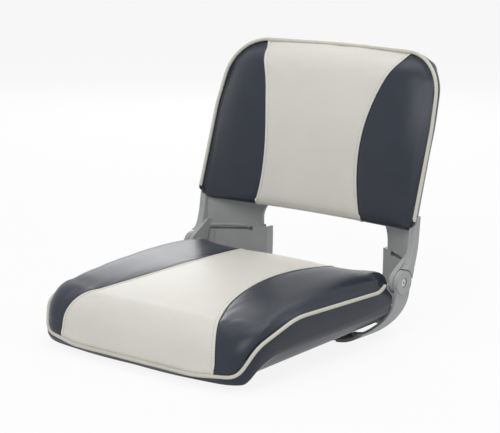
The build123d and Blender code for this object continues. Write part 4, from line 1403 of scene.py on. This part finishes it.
class BOATSEAT_OT_back_rear(bpy.types.Operator):
    """Rear panel of the back's sleeve, from piping to piping round the edges"""

    bl_idname = "boatseat.back_rear"
    bl_label = "Back rear panel"

    def execute(self, context):
        sizes = context.scene.boat_seat_sizes
        lines = BackLines()
        half, outline, corner = lines.half, lines.outline, lines.corner
        up = stretched_shares(121, 1.7)
        x = (BACK_HALF_WIDTH - 0.4) * (2 * up - 1)
        foot = np.column_stack([x, back_outline_foot(x)])
        last = np.vstack([foot[-1:], outline[: corner + 1][outline[: corner + 1, 1] > foot[-1, 1] + 1]])
        top = outline[corner:]
        head = np.vstack([top * MIRROR[:2], top[-2::-1]])
        head = read_path(head, shares_along(foot))
        places = coons(read_path(last * MIRROR[:2], up), read_path(last, up), foot, head)
        x, z = places[..., 0], places[..., 1]
        rear = back_rear(x, np.minimum(z, BACK_BOTTOM + BACK_HEIGHT)) + REAR_ROOM
        edge = np.vstack([half, (half * MIRROR)[::-1]])
        distance, index = nearest(places, edge[:, ::2])
        depth = np.maximum(rear - edge[index, 1], 1.0)
        inside = np.clip(1 - distance / np.minimum(depth, REAR_ROUNDING), 0, 1)
        y = rear - depth * (1 - np.sqrt(1 - inside**2.2))
        fall, foot_radius = REAR_FOOT
        y = y - fall * quarter(np.abs(z - back_outline_foot(x)), foot_radius) / foot_radius
        y = y + REAR_BAND * bell(distance, *REAR_BAND_PLACE) * rise(z, *REAR_BAND_START)
        corner_distance = np.hypot(np.abs(x) - SHELL_CORNER[0], z - SHELL_CORNER[1])
        y = y + SHELL_CORNER_ROOM * bell(corner_distance, SHELL_CORNER_REACH)
        cover = soften_both(np.stack([x, y, z], -1), 1.2).transpose(1, 0, 2)
        cover, _ = outwards(cover, np.array([0.0, 150.0, 290.0]))
        made = sheet_object("back_cushion_rear", cover, sizes.cover_thickness)
        dress(made, finishes(context)["navy"], "backrest", ["back_rear_panel"])
        return {"FINISHED"}


class BOATSEAT_OT_foam(bpy.types.Operator):
    """Foam blocks inside the covers"""

    bl_idname = "boatseat.foam"
    bl_label = "Foam blocks"

    def execute(self, context):
        look = finishes(context)["foam"]
        across = np.linspace(-SEAT_FOAM_ACROSS, SEAT_FOAM_ACROSS, 61)
        places = np.stack(np.meshgrid(across, np.linspace(0, 1, 101), indexing="ij"), -1)
        top = seat_surface(seat_table(), places)
        top, _ = outwards(top, top.mean((0, 1)))
        dent = np.linalg.norm(np.abs(top) - EAR_HOLLOW, axis=2)
        inset = FOAM_INSET + FOAM_HOLLOW * bell(dent, FOAM_HOLLOW_REACH)
        top = top - inset[..., None] * grid_normals(top)
        floor = np.where(top[..., 1] > LEDGE_START, LEDGE_Z, DECK_Z) + FOAM_GAP
        top[..., 2] = np.maximum(top[..., 2], floor + FOAM_GAP)
        bottom = top.copy()
        bottom[..., 2] = floor
        made = block_object("seat_foam_block", top, bottom)
        dress(made, look, "seat", ["seat_foam"])
        across = np.linspace(-BACK_FOAM_ACROSS, BACK_FOAM_ACROSS, 61)
        across, up = np.meshgrid(across, np.linspace(*BACK_FOAM_UP, 61), indexing="ij")
        z = BACK_BOTTOM + up * BACK_HEIGHT
        x = across * back_rows(z)[..., 0]
        z = np.maximum(z, back_outline_foot(x) + 6)
        front = np.stack([x, back_front(back_front_table(), x, z) + BACK_FOAM_INSET, z], -1)
        room = SHELL_WALL_ROOM + 1.0 + BACK_FOAM_TOP_ROOM * rise(z, *BACK_FOAM_TOP_START)
        rear = front.copy()
        rear[..., 1] = np.maximum(back_rear(x, z) - room, front[..., 1] + FOAM_GAP)
        front, turned = outwards(front, BACK_BEHIND)
        made = block_object("back_foam_block", front, rear[::-1] if turned else rear)
        dress(made, look, "backrest", ["back_foam"])
        return {"FINISHED"}


class BOATSEAT_OT_legs(bpy.types.Operator):
    """Outer strips of the back's legs, their feet round the hinge, and the slots' lips and channels"""

    bl_idname = "boatseat.legs"
    bl_label = "Leg trim"

    def execute(self, context):
        look = finishes(context)["grey"]
        strip = np.array(LEG_STRIP, float)
        places = np.linspace(0, len(strip) - 1, 49)
        front, rear = (spline(np.arange(len(strip)), strip[:, k], places) for k in (0, 1))
        angle, radius = np.array(LEG_FOOT, float)
        turn = np.linspace(angle[0], angle[-1], 61)
        radius = spline(angle, radius, turn)[:, :1]
        turn = np.radians(turn)[:, None]
        away = np.column_stack([np.cos(turn), np.sin(turn)])
        hinge = np.array([HINGE_Y, HINGE_Z])
        inner, outer = hinge + LEG_FOOT_INSIDE * away, hinge + radius * away
        share = np.linspace(0, 1, 60)
        x = LIP_X[0] + share * (LIP_X[1] - LIP_X[0])
        arch = LIP_Z + LIP_ARCH * np.sin(math.pi * share)
        lip = soften(np.column_stack([x, np.interp(x, *LIP_WALL), arch]), 2)
        angles = np.linspace(0, math.tau, 24, endpoint=False)
        thick, high = LIP_HALVES
        oval = thick * high / np.hypot(high * np.cos(angles), thick * np.sin(angles))
        x = np.linspace(*CHANNEL_X, 50)
        wall = soften(np.column_stack([x, np.interp(x, *WALL_FRONT), 0 * x]), 1.5)
        channel = np.stack([wall + depth * WALL_DEPTH + np.array([0, 0, z]) for depth, z in CHANNEL])
        for mirror, name in ((np.ones(3), "right"), (MIRROR, "left")):
            ends = sorted(mirror[0] * x for x in LEG_STRIP_X)
            outward = np.broadcast_to(-WALL_DEPTH * mirror, lip.shape)
            cover, _ = outwards(channel * mirror, np.array([60.0, 150.0, 110.6]) * mirror)
            for part in (
                rounded_bar(f"leg_strip_{name}", front, rear, *ends),
                rounded_bar(f"leg_foot_{name}", inner, outer, *ends),
                tube_object(f"leg_lip_{name}", lip * mirror, outward, oval),
                sheet_object(f"leg_slot_back_{name}", cover, -CHANNEL_WALL * MM),
            ):
                dress(part, look, "backrest")
        return {"FINISHED"}


class BOATSEAT_OT_shells(bpy.types.Operator):
    """Finishes of the moulded shells and the hinge and mounting hardware"""

    bl_idname = "boatseat.shells"
    bl_label = "Shells and hardware"

    def execute(self, context):
        look = finishes(context)
        kinds = {"seat_shell": "grey", "back_shell": "grey", "mounting_inserts": "brass"}
        for side in ("left", "right"):
            kinds[f"hinge_pin_{side}"] = "steel"
            kinds[f"hinge_nut_{side}"] = "steel"
            kinds[f"hinge_washer_{side}"] = "nylon"
            kinds[f"hinge_bush_{side}"] = "nylon"
        for name, kind in kinds.items():
            dress(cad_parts[name], look[kind])
        return {"FINISHED"}


def area_light(name, place, aim, size, power):
    """Soft rectangular lamp that looks at a point."""
    lamp = bpy.data.lights.new(name, "AREA")
    lamp.shape = "RECTANGLE"
    lamp.size, lamp.size_y = size
    lamp.energy = power
    made = bpy.data.objects.new(name, lamp)
    made.location = place
    made.rotation_euler = (Vector(aim) - Vector(place)).to_track_quat("-Z", "Y").to_euler()
    bpy.context.scene.collection.objects.link(made)
    return made


def rays_seen(tree, *kinds):
    """One for rays of any of the kinds, and zero for the others."""
    paths = add_node(tree, "ShaderNodeLightPath")
    seen = paths.outputs[f"Is {kinds[0]} Ray"]
    for kind in kinds[1:]:
        inputs = {0: seen, 1: paths.outputs[f"Is {kind} Ray"]}
        seen = add_node(tree, "ShaderNodeMath", inputs, operation="MAXIMUM").outputs[0]
    return seen


class BOATSEAT_OT_stage(bpy.types.Operator):
    """Pale floor, soft lamps, white surroundings and the camera"""

    bl_idname = "boatseat.stage"
    bl_label = "Stage"

    def execute(self, context):
        scene = context.scene
        scene.view_settings.view_transform = "Standard"
        # Surroundings: white where they are seen, and dimmer as a source of light
        world = bpy.data.worlds.new("soft_studio")
        world.use_nodes = True
        tree = world.node_tree
        tree.nodes.clear()
        seen = rays_seen(tree, "Camera", "Glossy", "Transmission")
        level = varied(tree, seen, WORLD_LIGHT, 1.0)
        light = add_node(tree, "ShaderNodeBackground", {"Color": (1, 1, 1, 1), "Strength": level})
        output = add_node(tree, "ShaderNodeOutputWorld")
        tree.links.new(light.outputs[0], output.inputs["Surface"])
        scene.world = world
        # Floor: pale paint that is mostly white to the camera, so that only soft shadows show
        corners = [(x, y, 0) for x, y in ((-1, -1), (1, -1), (1, 1), (-1, 1))]
        floor = mesh_object("studio_floor", np.array(corners) * FLOOR_HALF, [(0, 1, 2, 3)])
        material, tree, output, _ = new_material("painted_studio_floor")
        inputs = {0: rays_seen(tree, "Camera", "Glossy"), 1: FLOOR_WHITE}
        share = add_node(tree, "ShaderNodeMath", inputs, operation="MULTIPLY")
        paint = add_node(tree, "ShaderNodeBsdfDiffuse", {"Color": (0.9, 0.9, 0.9, 1)})
        white = add_node(tree, "ShaderNodeEmission", {"Color": (1, 1, 1, 1), "Strength": 1.0})
        inputs = {0: share.outputs[0], 1: paint.outputs[0], 2: white.outputs[0]}
        mixed = add_node(tree, "ShaderNodeMixShader", inputs)
        tree.links.new(mixed.outputs[0], output.inputs["Surface"])
        floor.data.materials.append(material)
        for lamp in LAMPS:
            area_light(*lamp)
        data = bpy.data.cameras.new("camera")
        data.sensor_width = 36
        data.lens = CAMERA_LENS
        data.clip_start, data.clip_end = 0.1, 50
        camera = bpy.data.objects.new("camera", data)
        scene.collection.objects.link(camera)
        turn, lift = math.radians(CAMERA_TURN), math.radians(CAMERA_LIFT)
        level = math.cos(lift)
        back = Vector((math.sin(turn) * level, -math.cos(turn) * level, math.sin(lift)))
        camera.location = CAMERA_PLACE
        camera.rotation_mode = "QUATERNION"
        camera.rotation_quaternion = (-back).to_track_quat("-Z", "Y")
        scene.camera = camera
        return {"FINISHED"}


class BOATSEAT_PT_panel(bpy.types.Panel):
    """Settings and steps of the boat seat"""

    bl_idname = "BOATSEAT_PT_panel"
    bl_label = "Boat seat"
    bl_space_type = "VIEW_3D"
    bl_region_type = "UI"
    bl_category = "Boat seat"

    def draw(self, context):
        for group in (context.scene.boat_seat_sizes, context.scene.boat_seat_colours):
            for name in group.__annotations__:
                self.layout.prop(group, name)
        for operator in OPERATORS:
            self.layout.operator(operator.bl_idname)


OPERATORS = (
    BOATSEAT_OT_stage,
    BOATSEAT_OT_seat_cover,
    BOATSEAT_OT_seat_gusset,
    BOATSEAT_OT_piping,
    BOATSEAT_OT_back_cover,
    BOATSEAT_OT_back_rear,
    BOATSEAT_OT_foam,
    BOATSEAT_OT_legs,
    BOATSEAT_OT_shells,
)
CLASSES = (BoatSeatSizes, BoatSeatColours) + OPERATORS + (BOATSEAT_PT_panel,)


def register():
    """Adds the settings, the operators and the panel."""
    for part in CLASSES:
        bpy.utils.register_class(part)
    bpy.types.Scene.boat_seat_sizes = bpy.props.PointerProperty(type=BoatSeatSizes)
    bpy.types.Scene.boat_seat_colours = bpy.props.PointerProperty(type=BoatSeatColours)


def unregister():
    """Removes them."""
    del bpy.types.Scene.boat_seat_sizes
    del bpy.types.Scene.boat_seat_colours
    for part in reversed(CLASSES):
        bpy.utils.unregister_class(part)


def main():
    """Builds the seat step by step."""
    register()
    bpy.ops.boatseat.stage()
    bpy.ops.boatseat.seat_cover()
    bpy.ops.boatseat.seat_gusset()
    bpy.ops.boatseat.piping()
    bpy.ops.boatseat.back_cover()
    bpy.ops.boatseat.back_rear()
    bpy.ops.boatseat.foam()
    bpy.ops.boatseat.legs()
    bpy.ops.boatseat.shells()


if __name__ == "__main__":
    main()
